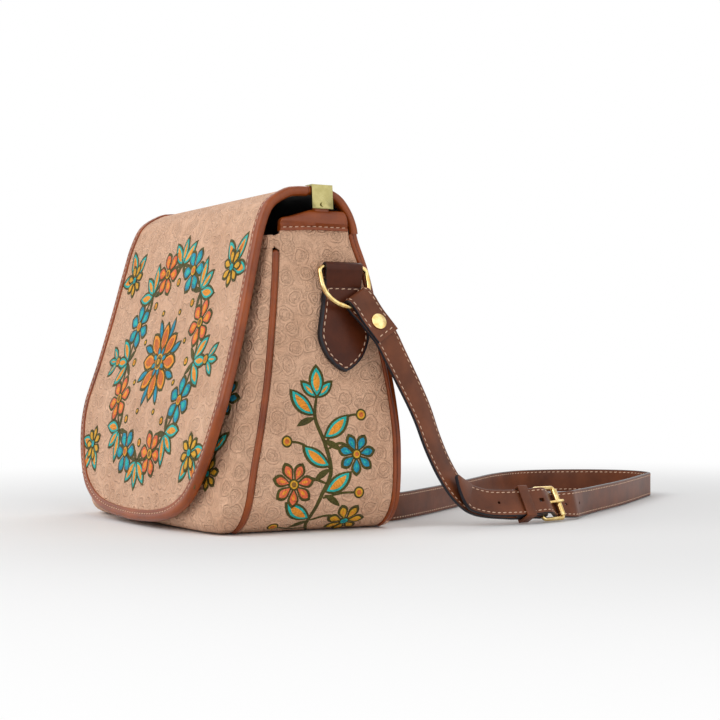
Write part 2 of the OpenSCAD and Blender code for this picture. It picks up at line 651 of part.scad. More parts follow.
// Short piece: folded through the right D-ring at one end and round the buckle's bar at the other
near_run_shares = [[0.25, 0.62], [0.36, 0.4], [0.46, 0.235], [0.58, 0.1], [0.72, 0.03]];
near_start = fold_point(fold_len, -ply);
near_end = buckle_point(-end_len, -ply);
near_run = [for (s = near_run_shares) [
    [mix(near_start[0], near_end[0], s[0]), mix(near_start[1], near_end[1], s[0]),
        mix(near_end[2], near_start[2], s[1])],
    mix(fold_side, buckle_up, s[0])]];
function near_way() = smooth_run(concat([[near_start, fold_side]], near_run, [[near_end, buckle_up]]), 3);
buckle_fold = concat(
    [for (s = [0.72, 0.4]) [buckle_point(-s * end_len, -ply), buckle_up]],
    [[buckle_point(-bar_room * 1.6, -mix(ply, bar_c, 0.7)), buckle_up]],
    [for (a = [-90 : 30 : 90]) [buckle_point(bar_c * cos(a), bar_c * sin(a)), buckle_up]],
    [[buckle_point(-bar_room * 1.6, mix(ply, bar_c, 0.7)), buckle_up]],
    [for (s = [0.4, 0.72, 1]) [buckle_point(-s * end_len, ply), buckle_up]]);
module strap_buckle_piece() {
    color(STRAP_BROWN) difference() {
        strap(concat(ring_fold(), rest(near_way()), buckle_fold));
        rivet_hole();
        at_buckle() translate([-bar_room * 2, -prong_r - slot_play, -over])
            cube([bar_c * 4, 2 * (prong_r + slot_play), 2 * over]);
    }
}
module at_rivet() {
    multmatrix([for (k = [0 : 2]) [fold_side[k], cross(fold_out, fold_side)[k], fold_out[k],
        fold_point(rivet_at, 0)[k]]]) children();
}
rivet_r = 1.6;
module rivet_hole() {
    at_rivet() cylinder(r = rivet_r + seat, h = 4 * strap_t, center = true);
}
module right_strap_rivet() {
    half = ply + strap_t / 2 + seat;
    color(BRASS) at_rivet() {
        cylinder(r = rivet_r, h = 2 * half, center = true);
        translate([0, 0, half]) cylinder(r = 3.2 * rivet_r, h = rivet_r * 0.75);
        translate([0, 0, -half - rivet_r * 0.45]) cylinder(r = 2.6 * rivet_r, h = rivet_r * 0.45);
    }
}
module left_strap_rivet() { mirror([1, 0, 0]) right_strap_rivet(); }

// Long piece: from the left D-ring, behind the bag, round the loop and through the buckle
lay_z = strap_w / 2;
back_lay_y = back_skin_y(lay_z) + strap_t;
up = [0, 0, 1];
rise_shares = [[-1.01, 0.1, 0.6, [0.15, 0.75, 0.6]], [-0.82, 0.62, 0.4, [0.6, 0.35, 0.65]],
    [-0.48, 0.45, 0.14, [0.35, 0, 0.9]]];
far_shares = [[-0.2, 0.155], [0.3, 0.155], [0.47, 0.157], [0.56, 0.178], [0.54, 0.218], [0.15, 0.375],
    [-0.31, 0.54], [-0.74, 0.69], [-0.94, 0.81], [-0.87, 0.92], [-0.64, 1], [-0.34, 1], [-0.11, 0.925],
    [0.34, 0.755], [0.74, 0.585]];
far_run = concat(
    [for (s = rise_shares) [[s[0] * body_w / 2,
        s[1] < 0.2 ? back_lay_y - 2 * strap_t + s[1] * strap_w : back_lay_y + s[1] * strap_w,
        lay_z + s[2] * (bar_up - lay_z)], s[3]]],
    [for (s = far_shares) [[s[0] * body_w / 2,
        s[1] < 0.2 ? back_lay_y + (s[1] - 0.155) * strap_reach : s[1] * strap_reach, lay_z], up]]);
tuck = roller_r + ply_gap + strap_t / 2;
lift = bar_c + strap_t + ply_gap;
on_end = ply + strap_t + ply_gap;
tongue_shares = [[1.95, 0], [1.35, 0], [1, -0.01], [0.775, 0.14], [0.5, 0.52], [0.3, 0.855], [0.075, 1.01],
    [-0.15, 1.02]];
tongue_run = concat(
    [for (s = tongue_shares) [buckle_point(s[0] * buckle_len, mix(-tuck, lift, s[1])),
        s[0] > 1.9 ? mix(up, buckle_up, 0.6) : buckle_up]],
    [[buckle_point(-0.5 * end_len, mix(lift, on_end, 0.8)), buckle_up],
    [buckle_point(-end_len, on_end), buckle_up]]);
// The tip follows the short piece, a little off its face, and narrows to a point
function tip_at(i, k) = let (w = near_way(), n = len(w) - 1 - i, c = [for (s = w) s[0]], t = heading(c, n),
    a = unit(w[n][1] - (w[n][1] * t) * t)) [w[n][0] + k * strap_t * cross(t, a), w[n][1]];
tip_shares = [[2, 1.35, 1], [4, 1.5, 1], [5, 1.75, 0.97], [6, 2.1, 0.8], [7, 2.4, 0.5], [8, 2.6, 0.14]];
tip_run = [for (s = tip_shares) concat(tip_at(s[0], s[1]), [s[2]])];
module strap_tongue_piece() {
    start = other_side(ring_fold());
    rise = concat(other_side([[near_start, fold_side]]), far_run, [tongue_run[0]]);
    color(STRAP_BROWN) difference() {
        strap(concat(start, rest(smooth_run(rise, 3)), rest(tongue_run), tip_run));
        mirror([1, 0, 0]) rivet_hole();
        at_buckle() along_prong() cylinder(r = prong_r + prong_play, h = buckle_len);
    }
}

module buckle_frame() {
    w = frame_w / 2;
    color(BRASS) at_buckle() {
        for (x = [0, buckle_len]) translate([x, 0, 0]) rotate([90, 0, 0])
            cylinder(r = wire_r, h = 2 * w, center = true);
        for (y = [-w, w]) translate([0, y, 0]) rotate([0, 90, 0]) cylinder(r = wire_r, h = buckle_len);
        for (x = [0, buckle_len]) for (y = [-w, w]) translate([x, y, 0]) sphere(wire_r);
    }
}
roller_over = 0.6;
module buckle_roller() {
    color(BRASS) at_buckle() translate([buckle_len, 0, 0]) rotate([90, 0, 0]) difference() {
        cylinder(r = roller_r, h = strap_w + roller_over, center = true);
        cylinder(r = wire_r + turn_play, h = far_d, center = true);
    }
}
// Prong: an eye round the frame's bar and a pin that rests on the roller
prong_r = 1.1;
// Play beside the prong in its punched hole and in the strap's slot
prong_play = 0.4;
slot_play = 0.5;
eye_r = wire_r + turn_play + prong_r;
prong_seat = roller_r + prong_r + seat;
prong_over = 3;
module along_prong() { rotate([0, 90 - asin(prong_seat / buckle_len), 0]) children(); }
module buckle_prong() {
    color(BRASS) at_buckle() difference() {
        union() {
            rotate([90, 0, 0]) cylinder(r = eye_r, h = 2 * prong_r, center = true);
            along_prong() {
                cylinder(r = prong_r, h = buckle_len + prong_over);
                translate([0, 0, buckle_len + prong_over]) sphere(prong_r);
            }
        }
        rotate([90, 0, 0]) cylinder(r = wire_r + turn_play, h = far_d, center = true);
    }
}
// Keeper: a band round the folded end and the tongue
keeper_t = 1.6;
keeper_w = 9;
keeper_at = 0.62 * end_len;
keeper_play = 0.4;
keeper_rise = 0.9;
module keeper_loop() {
    low = -ply - strap_t / 2 - ply_gap;
    high = on_end + strap_t / 2 + keeper_rise;
    room = strap_w + 2 * keeper_play;
    color(STRAP_BROWN) at_buckle() translate([-keeper_at - keeper_w / 2, 0, 0]) difference() {
        translate([0, -room / 2 - keeper_t, low - keeper_t])
            cube([keeper_w, room + 2 * keeper_t, high - low + 2 * keeper_t]);
        translate([-over, -room / 2, low]) cube([keeper_w + 2 * over, room, high - low]);
    }
}

flap_panel();
flap_binding();
snap_stud();
back_panel();
right_arch_binding();
left_arch_binding();
front_panel();
mouth_binding();
right_gusset();
left_gusset();
right_gusset_binding();
left_gusset_binding();
base_panel();
base_board();
front_piping();
back_piping();
lining();
front_lining();
slip_pocket();
snap_socket();
snap_back_plate();
right_edge_clip();
left_edge_clip();
clip_screws();
right_side_tab();
left_side_tab();
right_d_ring();
left_d_ring();
strap_buckle_piece();
strap_tongue_piece();
right_strap_rivet();
left_strap_rivet();
buckle_frame();
buckle_roller();
buckle_prong();
keeper_loop();
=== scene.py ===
"""Looks of a saddle handbag: embossed tan leather, bound edges, brass fittings and a buckled strap."""

import math

import bmesh
import bpy
import numpy as np
from mathutils import Matrix, Vector


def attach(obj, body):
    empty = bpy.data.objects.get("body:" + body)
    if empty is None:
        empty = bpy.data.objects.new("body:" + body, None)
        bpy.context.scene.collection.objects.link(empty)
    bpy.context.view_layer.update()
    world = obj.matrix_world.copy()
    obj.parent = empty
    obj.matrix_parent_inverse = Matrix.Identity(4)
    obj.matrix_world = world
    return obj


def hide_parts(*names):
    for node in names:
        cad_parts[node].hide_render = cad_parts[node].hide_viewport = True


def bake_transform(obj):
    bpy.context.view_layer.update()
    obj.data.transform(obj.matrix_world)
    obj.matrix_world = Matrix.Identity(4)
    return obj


bl_info = {
    "name": "Saddle handbag",
    "version": (1, 0, 0),
    "blender": (4, 5, 0),
    "location": "View3D > Sidebar > Handbag",
    "description": "Builds the leather, thread, metal and lining of a saddle handbag",
    "category": "Add Mesh",
}

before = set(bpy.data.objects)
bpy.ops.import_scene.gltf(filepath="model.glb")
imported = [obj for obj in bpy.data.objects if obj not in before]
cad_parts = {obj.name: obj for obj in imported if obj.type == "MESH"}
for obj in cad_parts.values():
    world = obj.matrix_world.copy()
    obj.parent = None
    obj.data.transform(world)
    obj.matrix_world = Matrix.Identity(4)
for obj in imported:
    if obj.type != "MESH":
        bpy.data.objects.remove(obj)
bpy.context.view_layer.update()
MM = 0.001

# Sizes of the pattern pieces, in millimetres, as in the part's source
BODY_W, MOUTH_W, MOUTH_Z = 267.0, 234.0, 216.0
BASE_D, MOUTH_D = 120.0, 60.0
CORNER_R = 28.0
PANEL_T, GUSSET_T = 3.0, 2.4
FRONT_CORD_R, BACK_CORD_R = 2.8, 1.6
CORD_PROUD = 1.2
CROWN_H, FLAP_REACH, FLAP_W, FLAP_T = 27.5, 92.3, 259.0, 4.2
FLAP_CLEAR, FLAP_GAP = 4.4, 3.6
BINDING_T, BINDING_W = 1.3, 7.0
TOP_Z = MOUTH_Z + CROWN_H
SKIN_TOP = TOP_Z - BINDING_T
SKIN_RISE = SKIN_TOP - MOUTH_Z
FOLD_Y = -0.15 * MOUTH_D / 2
LEAN = math.atan((BODY_W - MOUTH_W) / 2 / MOUTH_Z)
CORNER_X = BODY_W / 2 - CORNER_R * (1 + math.sin(LEAN)) / math.cos(LEAN)
LIP_Z = 0.955 * MOUTH_Z
CORD_TOP = 0.9 * MOUTH_Z
FOOT_R = 13.0
# Power of the front shell's rounded section, and the gap that keeps leather off the front cord
FRONT_SQUARE, CORD_GAP = 4.5, 0.1
# Each panel is this much thinner than in the CAD, so that two leathers never share a face
SHY = 0.05
STRAP_W, STRAP_T = 21.0, 2.7

# Side profiles in shares of the sizes above. SEAM_Z holds heights, and the next two lists hold how far
# the front seam and the back stand from the middle there; (depth, height) pairs give the back's arch, the
# flap's fall and the flap's arch. FLAP_EDGE is half of the flap's lower edge, as (width, height).
SEAM_Z = [0, 0.1, 0.2, 0.33, 0.5, 0.7, 0.85, 1]
FRONT_SEAM = [1, 0.94, 0.81, 0.6, 0.37, 0.185, 0.075, 0]
BACK_SKIN = [1.03, 1.06, 1.12, 1.13, 0.98, 0.67, 0.43]
BACK_ARCH = [(1.17, -0.38), (1.1, 0.04), (0.97, 0.42), (0.74, 0.77), (0.43, 0.96), (0.15, 1)]
FLAP_FALL = [(1, 0), (0.9, 0.185), (0.738, 0.37), (0.455, 0.556), (0.202, 0.741), (0, 0.903)]
FLAP_ARCH = [(1.45, -0.03), (1.19, 0.56), (0.72, 0.91), (0.4, 0.99)]
FLAP_EDGE = [(0, 0), (0.3, 0.007), (0.54, 0.03), (0.72, 0.075), (0.82, 0.128), (0.91, 0.21),
             (0.975, 0.31), (1, 0.4)]


def size(name):
    """One of the panel's sizes, in millimetres."""
    return getattr(bpy.context.scene.handbag_sizes, name) / MM


def mix(a, b, t):
    return a + (b - a) * t


def stacked(*values):
    """The values side by side along a new last axis."""
    return np.stack(np.broadcast_arrays(*values), axis=-1)


def unit(v):
    """Each vector scaled to a length of one."""
    return v / np.linalg.norm(v, axis=-1, keepdims=True)


def ray(angle):
    """The direction at an angle in degrees."""
    return np.array([math.cos(math.radians(angle)), math.sin(math.radians(angle))])


def smooth_line(points, steps):
    """A smooth line through the points, with so many steps in each stretch."""
    p = np.array(points, float)
    out = []
    for i in range(len(p) - 1):
        a, b, c, d = p[max(i - 1, 0)], p[i], p[i + 1], p[min(i + 2, len(p) - 1)]
        for k in range(steps):
            t = k / steps
            out.append((2 * b + (c - a) * t + (2 * a - 5 * b + 4 * c - d) * t * t
                        + (3 * b - a - 3 * c + d) * t ** 3) / 2)
    return np.array(out + [p[-1]])


def lengths(p):
    """How far along the line each of its points lies."""
    return np.concatenate([[0], np.cumsum(np.linalg.norm(np.diff(p, axis=0), axis=1))])


def resampled(p, count):
    """The line with so many points at even distances."""
    s = lengths(p)
    t = np.linspace(0, s[-1], count)
    return stacked(*(np.interp(t, s, v) for v in p.T))


front_seam = smooth_line([(-mix(MOUTH_D, BASE_D, f) / 2, MOUTH_Z * z)
                          for f, z in zip(FRONT_SEAM, SEAM_Z)], 12)
back_skin = smooth_line([(mix(MOUTH_D, BASE_D, f) / 2, MOUTH_Z * z) for f, z in zip(BACK_SKIN, SEAM_Z)]
                        + [(y * MOUTH_D / 2, MOUTH_Z + z * SKIN_RISE) for y, z in BACK_ARCH]
                        + [(FOLD_Y + 0.3, SKIN_TOP)], 12)
back_skin = np.vstack([back_skin, [FOLD_Y + 0.15, SKIN_TOP]])
flap_skin = smooth_line([(-mix(1.64 * MOUTH_D / 2, FLAP_REACH, f), max(MOUTH_Z * z, FLAP_CLEAR))
                         for f, z in FLAP_FALL]
                        + [(-y * MOUTH_D / 2, MOUTH_Z + z * SKIN_RISE) for y, z in FLAP_ARCH]
                        + [(FOLD_Y - 0.3, SKIN_TOP)], 12)
flap_skin = np.vstack([flap_skin, [FOLD_Y - 0.15, SKIN_TOP]])


def side_x(z):
    return BODY_W / 2 - np.asarray(z) * math.tan(LEAN)


def body_half(z):
    z = np.asarray(z, float)
    low = CORNER_X + np.sqrt(np.maximum(CORNER_R ** 2 - (CORNER_R - np.maximum(z, 0)) ** 2, 0))
    return np.where(z < CORNER_R, np.minimum(side_x(z), low), side_x(z))


def front_seam_y(z):
    return np.interp(z, front_seam[:, 1], front_seam[:, 0])


class Skin:
    """A side profile that can be asked for its place and outward direction at a distance along it."""

    def __init__(self, line, outward):
        self.line = line
        self.s = lengths(line)
        self.total = self.s[-1]
        t = unit(np.gradient(line, self.s, axis=0))
        self.n = stacked(t[:, 1], -t[:, 0]) * outward
        rising = line[:, 1] < MOUTH_Z + 0.9 * SKIN_RISE
        self.z_rise, self.s_rise = line[rising, 1], self.s[rising]

    def at(self, x, s, lift=0.0):
        """The 3-D place (mm) at x, s along the skin and lift out of it."""
        y = np.interp(s, self.s, self.line[:, 0]) + lift * np.interp(s, self.s, self.n[:, 0])
        z = np.interp(s, self.s, self.line[:, 1]) + lift * np.interp(s, self.s, self.n[:, 1])
        return stacked(x, y, z)

    def out(self, s):
        ny, nz = np.interp(s, self.s, self.n[:, 0]), np.interp(s, self.s, self.n[:, 1])
        return unit(stacked(np.zeros_like(ny), ny, nz))

    def s_at(self, z):
        return np.interp(z, self.z_rise, self.s_rise)


# Both skins rise from the floor to the fold; the flap faces -Y and the back +Y
FLAP = Skin(flap_skin, -1)
BACK = Skin(back_skin, 1)


def flap_side():
    """Right half of the flap's outline as (x, s), from the middle of its lower edge up to the fold."""
    low = smooth_line([(x * FLAP_W / 2, FLAP_CLEAR + z * MOUTH_Z) for x, z in FLAP_EDGE], 12)
    top_x, wide_x, wide_z = side_x(TOP_Z + 4), low[-1, 0], low[-1, 1]
    s = np.linspace(FLAP.s_at(wide_z), FLAP.total, 60)[1:]
    z = np.interp(s, FLAP.s, flap_skin[:, 1])
    high = stacked(mix(wide_x, top_x, (z - wide_z) / (TOP_Z + 4 - wide_z)), s)
    return np.vstack([stacked(low[:, 0], FLAP.s_at(low[:, 1])), high])


def back_side():
    """Right half of the back panel's outline as (x, s), from the middle of the base up to the fold."""
    a = np.linspace(-math.pi / 2, LEAN, 24)
    arc = stacked(CORNER_X + CORNER_R * np.cos(a), CORNER_R + CORNER_R * np.sin(a))
    low = np.vstack([stacked(np.linspace(0, CORNER_X, 20)[:-1], np.zeros(19)), arc])
    s = np.linspace(BACK.s_at(arc[-1, 1]), BACK.total, 60)[1:]
    z = np.interp(s, BACK.s, back_skin[:, 1])
    return np.vstack([stacked(low[:, 0], BACK.s_at(low[:, 1])),
                      stacked(side_x(z), s)])


def patch(side, corner_z, skin, across, along):
    """Evenly spread (x, s) places over a panel whose outline is mirrored left and right."""
    z = np.interp(side[:, 1], skin.s, skin.line[:, 1])
    c = int(np.argmax(z >= corner_z))
    right = resampled(side[c:], along)
    half = side[:c + 1]
    left = right * [-1, 1]
    bottom = resampled(np.vstack([half[::-1] * [-1, 1], half[1:]]), across)
    top = stacked(np.linspace(-right[-1, 0], right[-1, 0], across), np.full(across, right[-1, 1]))
    u = np.linspace(0, 1, across)[None, :, None]
    v = np.linspace(0, 1, along)[:, None, None]
    return ((1 - v) * bottom[None] + v * top[None] + (1 - u) * left[:, None] + u * right[:, None]
            - (1 - u) * (1 - v) * bottom[0] - u * (1 - v) * bottom[-1]
            - (1 - u) * v * top[0] - u * v * top[-1])


# Making pieces
def freeze():
    """Moves the active piece's place, turn and scale into its mesh."""
    bpy.ops.object.transform_apply(location=True, rotation=True, scale=True)


def named(obj, name):
    """Gives a piece and its mesh one name."""
    obj.name = obj.data.name = name
    return obj


def deselect():
    for o in bpy.context.selected_objects:
        o.select_set(False)


def pick(obj):
    deselect()
    obj.select_set(True)
    bpy.context.view_layer.objects.active = obj


def edit(obj, *steps):
    """Runs mesh operators on the whole of obj, as by hand in edit mode."""
    pick(obj)
    bpy.ops.object.mode_set(mode="EDIT")
    bpy.ops.mesh.select_all(action="SELECT")
    for step, settings in steps:
        step(**settings)
    bpy.ops.object.mode_set(mode="OBJECT")


def outward(obj):
    edit(obj, (bpy.ops.mesh.remove_doubles, {"threshold": 0.00001}),
         (bpy.ops.mesh.normals_make_consistent, {"inside": False}))


def finish_edges(obj, angle=40):
    pick(obj)
    bpy.ops.object.shade_smooth_by_angle(angle=math.radians(angle))
    return obj


def apply_modifier(obj, kind, **settings):
    pick(obj)
    m = obj.modifiers.new(kind.title(), kind)
    for k, v in settings.items():
        setattr(m, k, v)
    bpy.ops.object.modifier_apply(modifier=m.name)


def laid(name, places):
    """A grid of leather or cloth laid over the places (rows of points in mm)."""
    places = np.asarray(places, float) * MM
    rows, cols = places.shape[:2]
    deselect()
    bpy.ops.mesh.primitive_grid_add(x_subdivisions=cols - 1, y_subdivisions=rows - 1, size=1)
    obj = named(bpy.context.object, name)
    obj.data.vertices.foreach_set("co", places.reshape(-1, 3).astype(np.float32).ravel())
    obj.data.update()
    return obj


def bevelled(obj, width, segments, angle=50, **more):
    """Rounds edges sharper than angle (degrees) over a width in millimetres."""
    apply_modifier(obj, "BEVEL", width=width * MM, segments=segments, limit_method="ANGLE",
                   angle_limit=math.radians(angle), **more)


def sheet_of(name, outer, inner, edge_round=0.4):
    """A piece with real thickness between two grids of places, its rim rounded."""
    a = laid(name, outer)
    b = laid(name + "_lower", inner)
    pick(a)
    b.select_set(True)
    bpy.ops.object.join()
    bpy.ops.object.mode_set(mode="EDIT")
    bpy.ops.mesh.select_all(action="DESELECT")
    bpy.ops.mesh.select_non_manifold()
    bpy.ops.mesh.bridge_edge_loops()
    bpy.ops.object.mode_set(mode="OBJECT")
    outward(a)
    bevelled(a, edge_round, 2)
    return finish_edges(a)


def lofted(name, rows):
    """A solid skinned over rows of points, each a closed cross-section, with both its ends shut."""
    first, last = (np.repeat(row.mean(0, keepdims=True)[None], len(row), 1) for row in (rows[0], rows[-1]))
    rows = np.concatenate([first, rows, last])
    obj = laid(name, np.concatenate([rows, rows[:, :1]], axis=1))
    outward(obj)
    return finish_edges(obj)


def swept(name, centres, side, up, section):
    """A strip or cord along centres (mm); section is a ring of (along side, along up) offsets."""
    c, a, b = (np.asarray(v, float)[:, None] for v in (centres, side, up))
    ring = np.asarray(section, float)
    return lofted(name, c + ring[None, :, 0:1] * a + ring[None, :, 1:2] * b)


def frames(p, hint):
    """Side and up directions at each point of a line, with up close to hint."""
    t = unit(np.gradient(p, axis=0))
    side = unit(np.cross(t, np.broadcast_to(np.asarray(hint, float), p.shape)))
    return side, np.cross(side, t)


def round_ring(r, sides=14):
    a = np.linspace(0, 2 * math.pi, sides, endpoint=False)
    return stacked(r * np.cos(a), r * np.sin(a))


def soft_box(w, t, r, steps=3):
    """A rectangle w by t with its corners rounded by r, as a ring of points."""
    out = []
    for i, (x, y) in enumerate(((1, 1), (-1, 1), (-1, -1), (1, -1))):
        a = np.radians(90 * i + np.linspace(0, 90, steps + 1))
        out.append(stacked(x * (w / 2 - r) + r * np.cos(a), y * (t / 2 - r) + r * np.sin(a)))
    return np.concatenate(out)


def dressed(node, name, finish, bevel, segments=2, cut=1.0):
    """A copy of a CAD node with its seams merged, its flats cleaned and its edges rounded."""
    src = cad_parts[node]
    deselect()
    obj = src.copy()
    obj.data = src.data.copy()
    obj.parent = None
    for key in list(obj.keys()):
        del obj[key]
    bpy.context.scene.collection.objects.link(obj)
    named(obj, name)
    obj.hide_render = obj.hide_viewport = False
    edit(obj, (bpy.ops.mesh.remove_doubles, {"threshold": 0.00002}),
         (bpy.ops.mesh.dissolve_limited, {"angle_limit": math.radians(cut)}))
    if bevel:
        bevelled(obj, bevel, segments, 35, use_clamp_overlap=True)
    return paint(finish_edges(obj), finish)


def joined(name, parts):
    pick(parts[0])
    for o in parts[1:]:
        o.select_set(True)
    if len(parts) > 1:
        bpy.ops.object.join()
    return named(parts[0], name)


def paint(obj, *materials):
    obj.data.materials.clear()
    for m in materials:
        obj.data.materials.append(m)
    return obj


def place(obj, body, slot, *nodes):
    """Hands a finished piece to a body, and hides the CAD nodes that it stands for."""
    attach(obj, body)
    if nodes:
        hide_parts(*nodes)
    return obj


def read(items, what):
    """One vector for each vertex or face of a mesh, as rows."""
    v = np.empty(len(items) * 3, np.float32)
    items.foreach_get(what, v)
    return v.reshape(-1, 3)


def mesh_object(name, verts, faces):
    """A piece from arrays of vertices (m) and a list of faces."""
    mesh = bpy.data.meshes.new(name)
    mesh.from_pydata(np.concatenate(verts).tolist(), [], faces)
    obj = bpy.data.objects.new(name, mesh)
    bpy.context.scene.collection.objects.link(obj)
    return obj


def stitch_row(name, points, direction, normal):
    """Copies of one thread stitch at the points; direction runs along the seam."""
    deselect()
    bpy.ops.mesh.primitive_uv_sphere_add(segments=6, ring_count=4, radius=0.5)
    one = bpy.context.object
    thread = size("thread_width") * MM
    bpy.ops.object.mode_set(mode="EDIT")
    bpy.ops.transform.rotate(value=math.radians(90), orient_axis="Y", center_override=(0, 0, 0))
    bpy.ops.transform.resize(value=(size("stitch_length") * MM, thread, 0.6 * thread),
                             center_override=(0, 0, 0))
    bpy.ops.object.mode_set(mode="OBJECT")
    base = read(one.data.vertices, "co")
    polys = [tuple(p.vertices) for p in one.data.polygons]
    bpy.data.objects.remove(one)
    verts, faces = [], []
    for p, d, n in zip(points, direction, normal):
        # Each stitch lies a little aslant, as saddle stitches do
        tilt = d + 0.09 * np.cross(n, d)
        tilt /= np.linalg.norm(tilt)
        side = np.cross(n, tilt)
        k = len(verts) * len(base)
        verts.append(np.asarray(p) * MM + base[:, :1] * tilt + base[:, 1:2] * side + base[:, 2:] * n)
        faces += [tuple(i + k for i in f) for f in polys]
    obj = mesh_object(name, verts, faces)
    for f in obj.data.polygons:
        f.use_smooth = True
    return paint(obj, M["thread"])


def sewn_along(name, line, normals):
    """Stitches at even distances along a line; normals has the surface's direction at its points."""
    both = np.concatenate([line, np.broadcast_to(normals, line.shape)], axis=1)
    s = lengths(line)
    count = max(int(s[-1] / size("stitch_pitch")), 2)
    t = np.linspace(0, s[-1], count * 2 + 1)
    p, n = np.split(stacked(*(np.interp(t, s, v) for v in both.T)), 2, axis=1)
    n = n[1::2]
    d = unit(p[2::2] - p[:-1:2])
    return stitch_row(name, p[1::2], d, unit(n - (n * d).sum(1)[:, None] * d))


# Finishes
def colour(code):
    """A hex sRGB colour as linear RGBA."""
    v = [int(code[i:i + 2], 16) / 255 for i in (1, 3, 5)]
    return [c / 12.92 if c <= 0.04045 else ((c + 0.055) / 1.055) ** 2.4 for c in v] + [1.0]


def link(tree, n, links):
    """Links each source to the socket of n that it is given for."""
    for key, source in links.items():
        tree.links.new(source, n.inputs[key])
    return n


def node(tree, kind, settings=None, links=None):
    """Adds one shader node, sets its properties and sockets, and links its inputs."""
    n = tree.nodes.new(kind)
    for key, value in (settings or {}).items():
        if isinstance(key, int) or key in n.inputs:
            n.inputs[key].default_value = value
        else:
            setattr(n, key, value)
    return link(tree, n, links or {})


def ramp(n, *stops):
    """Sets a colour ramp's stops, each a position with a hex code, a linear colour or a grey level."""
    e = n.color_ramp.elements
    while len(e) > len(stops):
        e.remove(e[-1])
    for i, (at, value) in enumerate(stops):
        stop = e[i] if i < len(e) else e.new(at)
        stop.position = at
        if isinstance(value, str):
            value = colour(value)
        stop.color = (value, value, value, 1) if isinstance(value, float) else value
    return n


def cleared_tree(block):
    """The empty node tree of a material or world."""
    block.use_nodes = True
    block.node_tree.nodes.clear()
    return block.node_tree


def finish(name, **settings):
    """An empty material with its shader, and the object's own coordinates in millimetres."""
    m = bpy.data.materials.new(name)
    t = cleared_tree(m)
    shader = node(t, "ShaderNodeBsdfPrincipled", settings)
    node(t, "ShaderNodeOutputMaterial", {}, {0: shader.outputs[0]})
    where = node(t, "ShaderNodeTexCoord").outputs["Object"]
    in_mm = node(t, "ShaderNodeMapping", {"Scale": (1 / MM,) * 3}, {"Vector": where})
    return m, t, shader, in_mm.outputs[0]


def embossed(t):
    """Height of the roller-embossed curls, laid out flat on the hide: rings with finer curls between."""
    where = node(t, "ShaderNodeAttribute", {"attribute_name": HIDE}).outputs["Vector"]
    sway = node(t, "ShaderNodeTexNoise", {"Scale": 0.11, "Detail": 2.0}, {"Vector": where})
    moved = node(t, "ShaderNodeVectorMath", {"operation": "MULTIPLY_ADD", 1: (5.0, 5.0, 5.0)},
                 {0: sway.outputs["Color"], 2: where})
    ring = ((0.0, 0.8), (0.07, 0.55), (0.13, 0.2), (0.19, 0.5), (0.25, 0.25), (0.34, 0.95), (0.4, 0.9),
            (0.48, 0.3), (0.6, 0.45), (0.72, 0.75), (0.85, 0.4))
    curl = ((0.0, 0.75), (0.12, 0.2), (0.3, 0.85), (0.42, 0.3), (0.6, 0.7), (0.75, 0.4))
    heights = []
    for share, spread, stops in ((1.0, 0.75, ring), (2.7, 1.0, curl)):
        cells = node(t, "ShaderNodeTexVoronoi", {"voronoi_dimensions": "2D", "Randomness": spread,
                                                 "Scale": share / size("curl_spacing")},
                     {"Vector": moved.outputs[0]})
        rings = ramp(node(t, "ShaderNodeValToRGB", {}, {"Fac": cells.outputs["Distance"]}), *stops)
        rings.color_ramp.interpolation = "EASE"
        heights.append(rings.outputs[0])
    return node(t, "ShaderNodeMath", {"operation": "MULTIPLY_ADD", 1: 0.45},
                {0: heights[1], 2: heights[0]}).outputs[0]


def noise(t, where, scale, detail=2.0, **more):
    return node(t, "ShaderNodeTexNoise", {"Scale": scale, "Detail": detail, **more},
                {"Vector": where}).outputs["Fac"]


def waves(t, where, scale, direction):
    return node(t, "ShaderNodeTexWave", {"Scale": scale, "bands_direction": direction},
                {"Vector": where}).outputs["Fac"]


def two_tone(t, share, low, high, start=0.0, end=1.0):
    """Runs from one colour to another as share goes from start to end."""
    return ramp(node(t, "ShaderNodeValToRGB", {}, {"Fac": share}), (start, low), (end, high)).outputs[0]


def graded(t, value, low, high, to_low, to_high):
    """Maps low..high to to_low..to_high."""
    return node(t, "ShaderNodeMapRange", {"From Min": low, "From Max": high, "To Min": to_low,
                                          "To Max": to_high}, {"Value": value}).outputs[0]


def relief(t, height, strength, depth, under=None):
    """Bumps of so many millimetres, on top of the relief under them."""
    links = {"Height": height, "Normal": under} if under else {"Height": height}
    return node(t, "ShaderNodeBump", {"Strength": strength, "Distance": depth * MM}, links).outputs[0]


def grain(t, where, scale):
    """Pores and fine creases of leather, drawn about 0.6 mm apart so that they show."""
    pores = node(t, "ShaderNodeTexVoronoi", {"Scale": scale, "feature": "SMOOTH_F1"}, {"Vector": where})
    return node(t, "ShaderNodeMath", {"operation": "MULTIPLY_ADD", 1: 0.5},
                {0: pores.outputs["Distance"], 2: noise(t, where, scale * 0.35, 4.0)}).outputs[0]


def leather(name, low, high, rough, shine=0.25, coat=0.0, emboss=0.0, grain_depth=0.12, grain_scale=1.6):
    """Leather: mottled between two colours; emboss and grain_depth are bump depths in millimetres, and with
    emboss the hollows also get painted shade.
    """
    m, t, shader, where = finish(name, **{"Roughness": rough, "Specular IOR Level": shine,
                                          "Coat Weight": coat, "Coat Roughness": 0.22})
    base = two_tone(t, noise(t, where, 0.035, 5.0, Roughness=0.6), low, high, 0.3, 0.7)
    normal = relief(t, grain(t, where, grain_scale), 0.5, grain_depth)
    if emboss:
        curls = embossed(t)
        # Painted shade: the colour is darkened in the curls' hollows, with a faint painted highlight on their
        # ridges
        base = node(t, "ShaderNodeMix", {"data_type": "RGBA", "blend_type": "MULTIPLY", 0: 1.0},
                    {6: base, 7: graded(t, curls, 0.2, 1.1, 0.9, 1.03)}).outputs[2]
        normal = relief(t, curls, 0.9, emboss, normal)
    link(t, shader, {"Base Color": base, "Normal": normal})
    return m


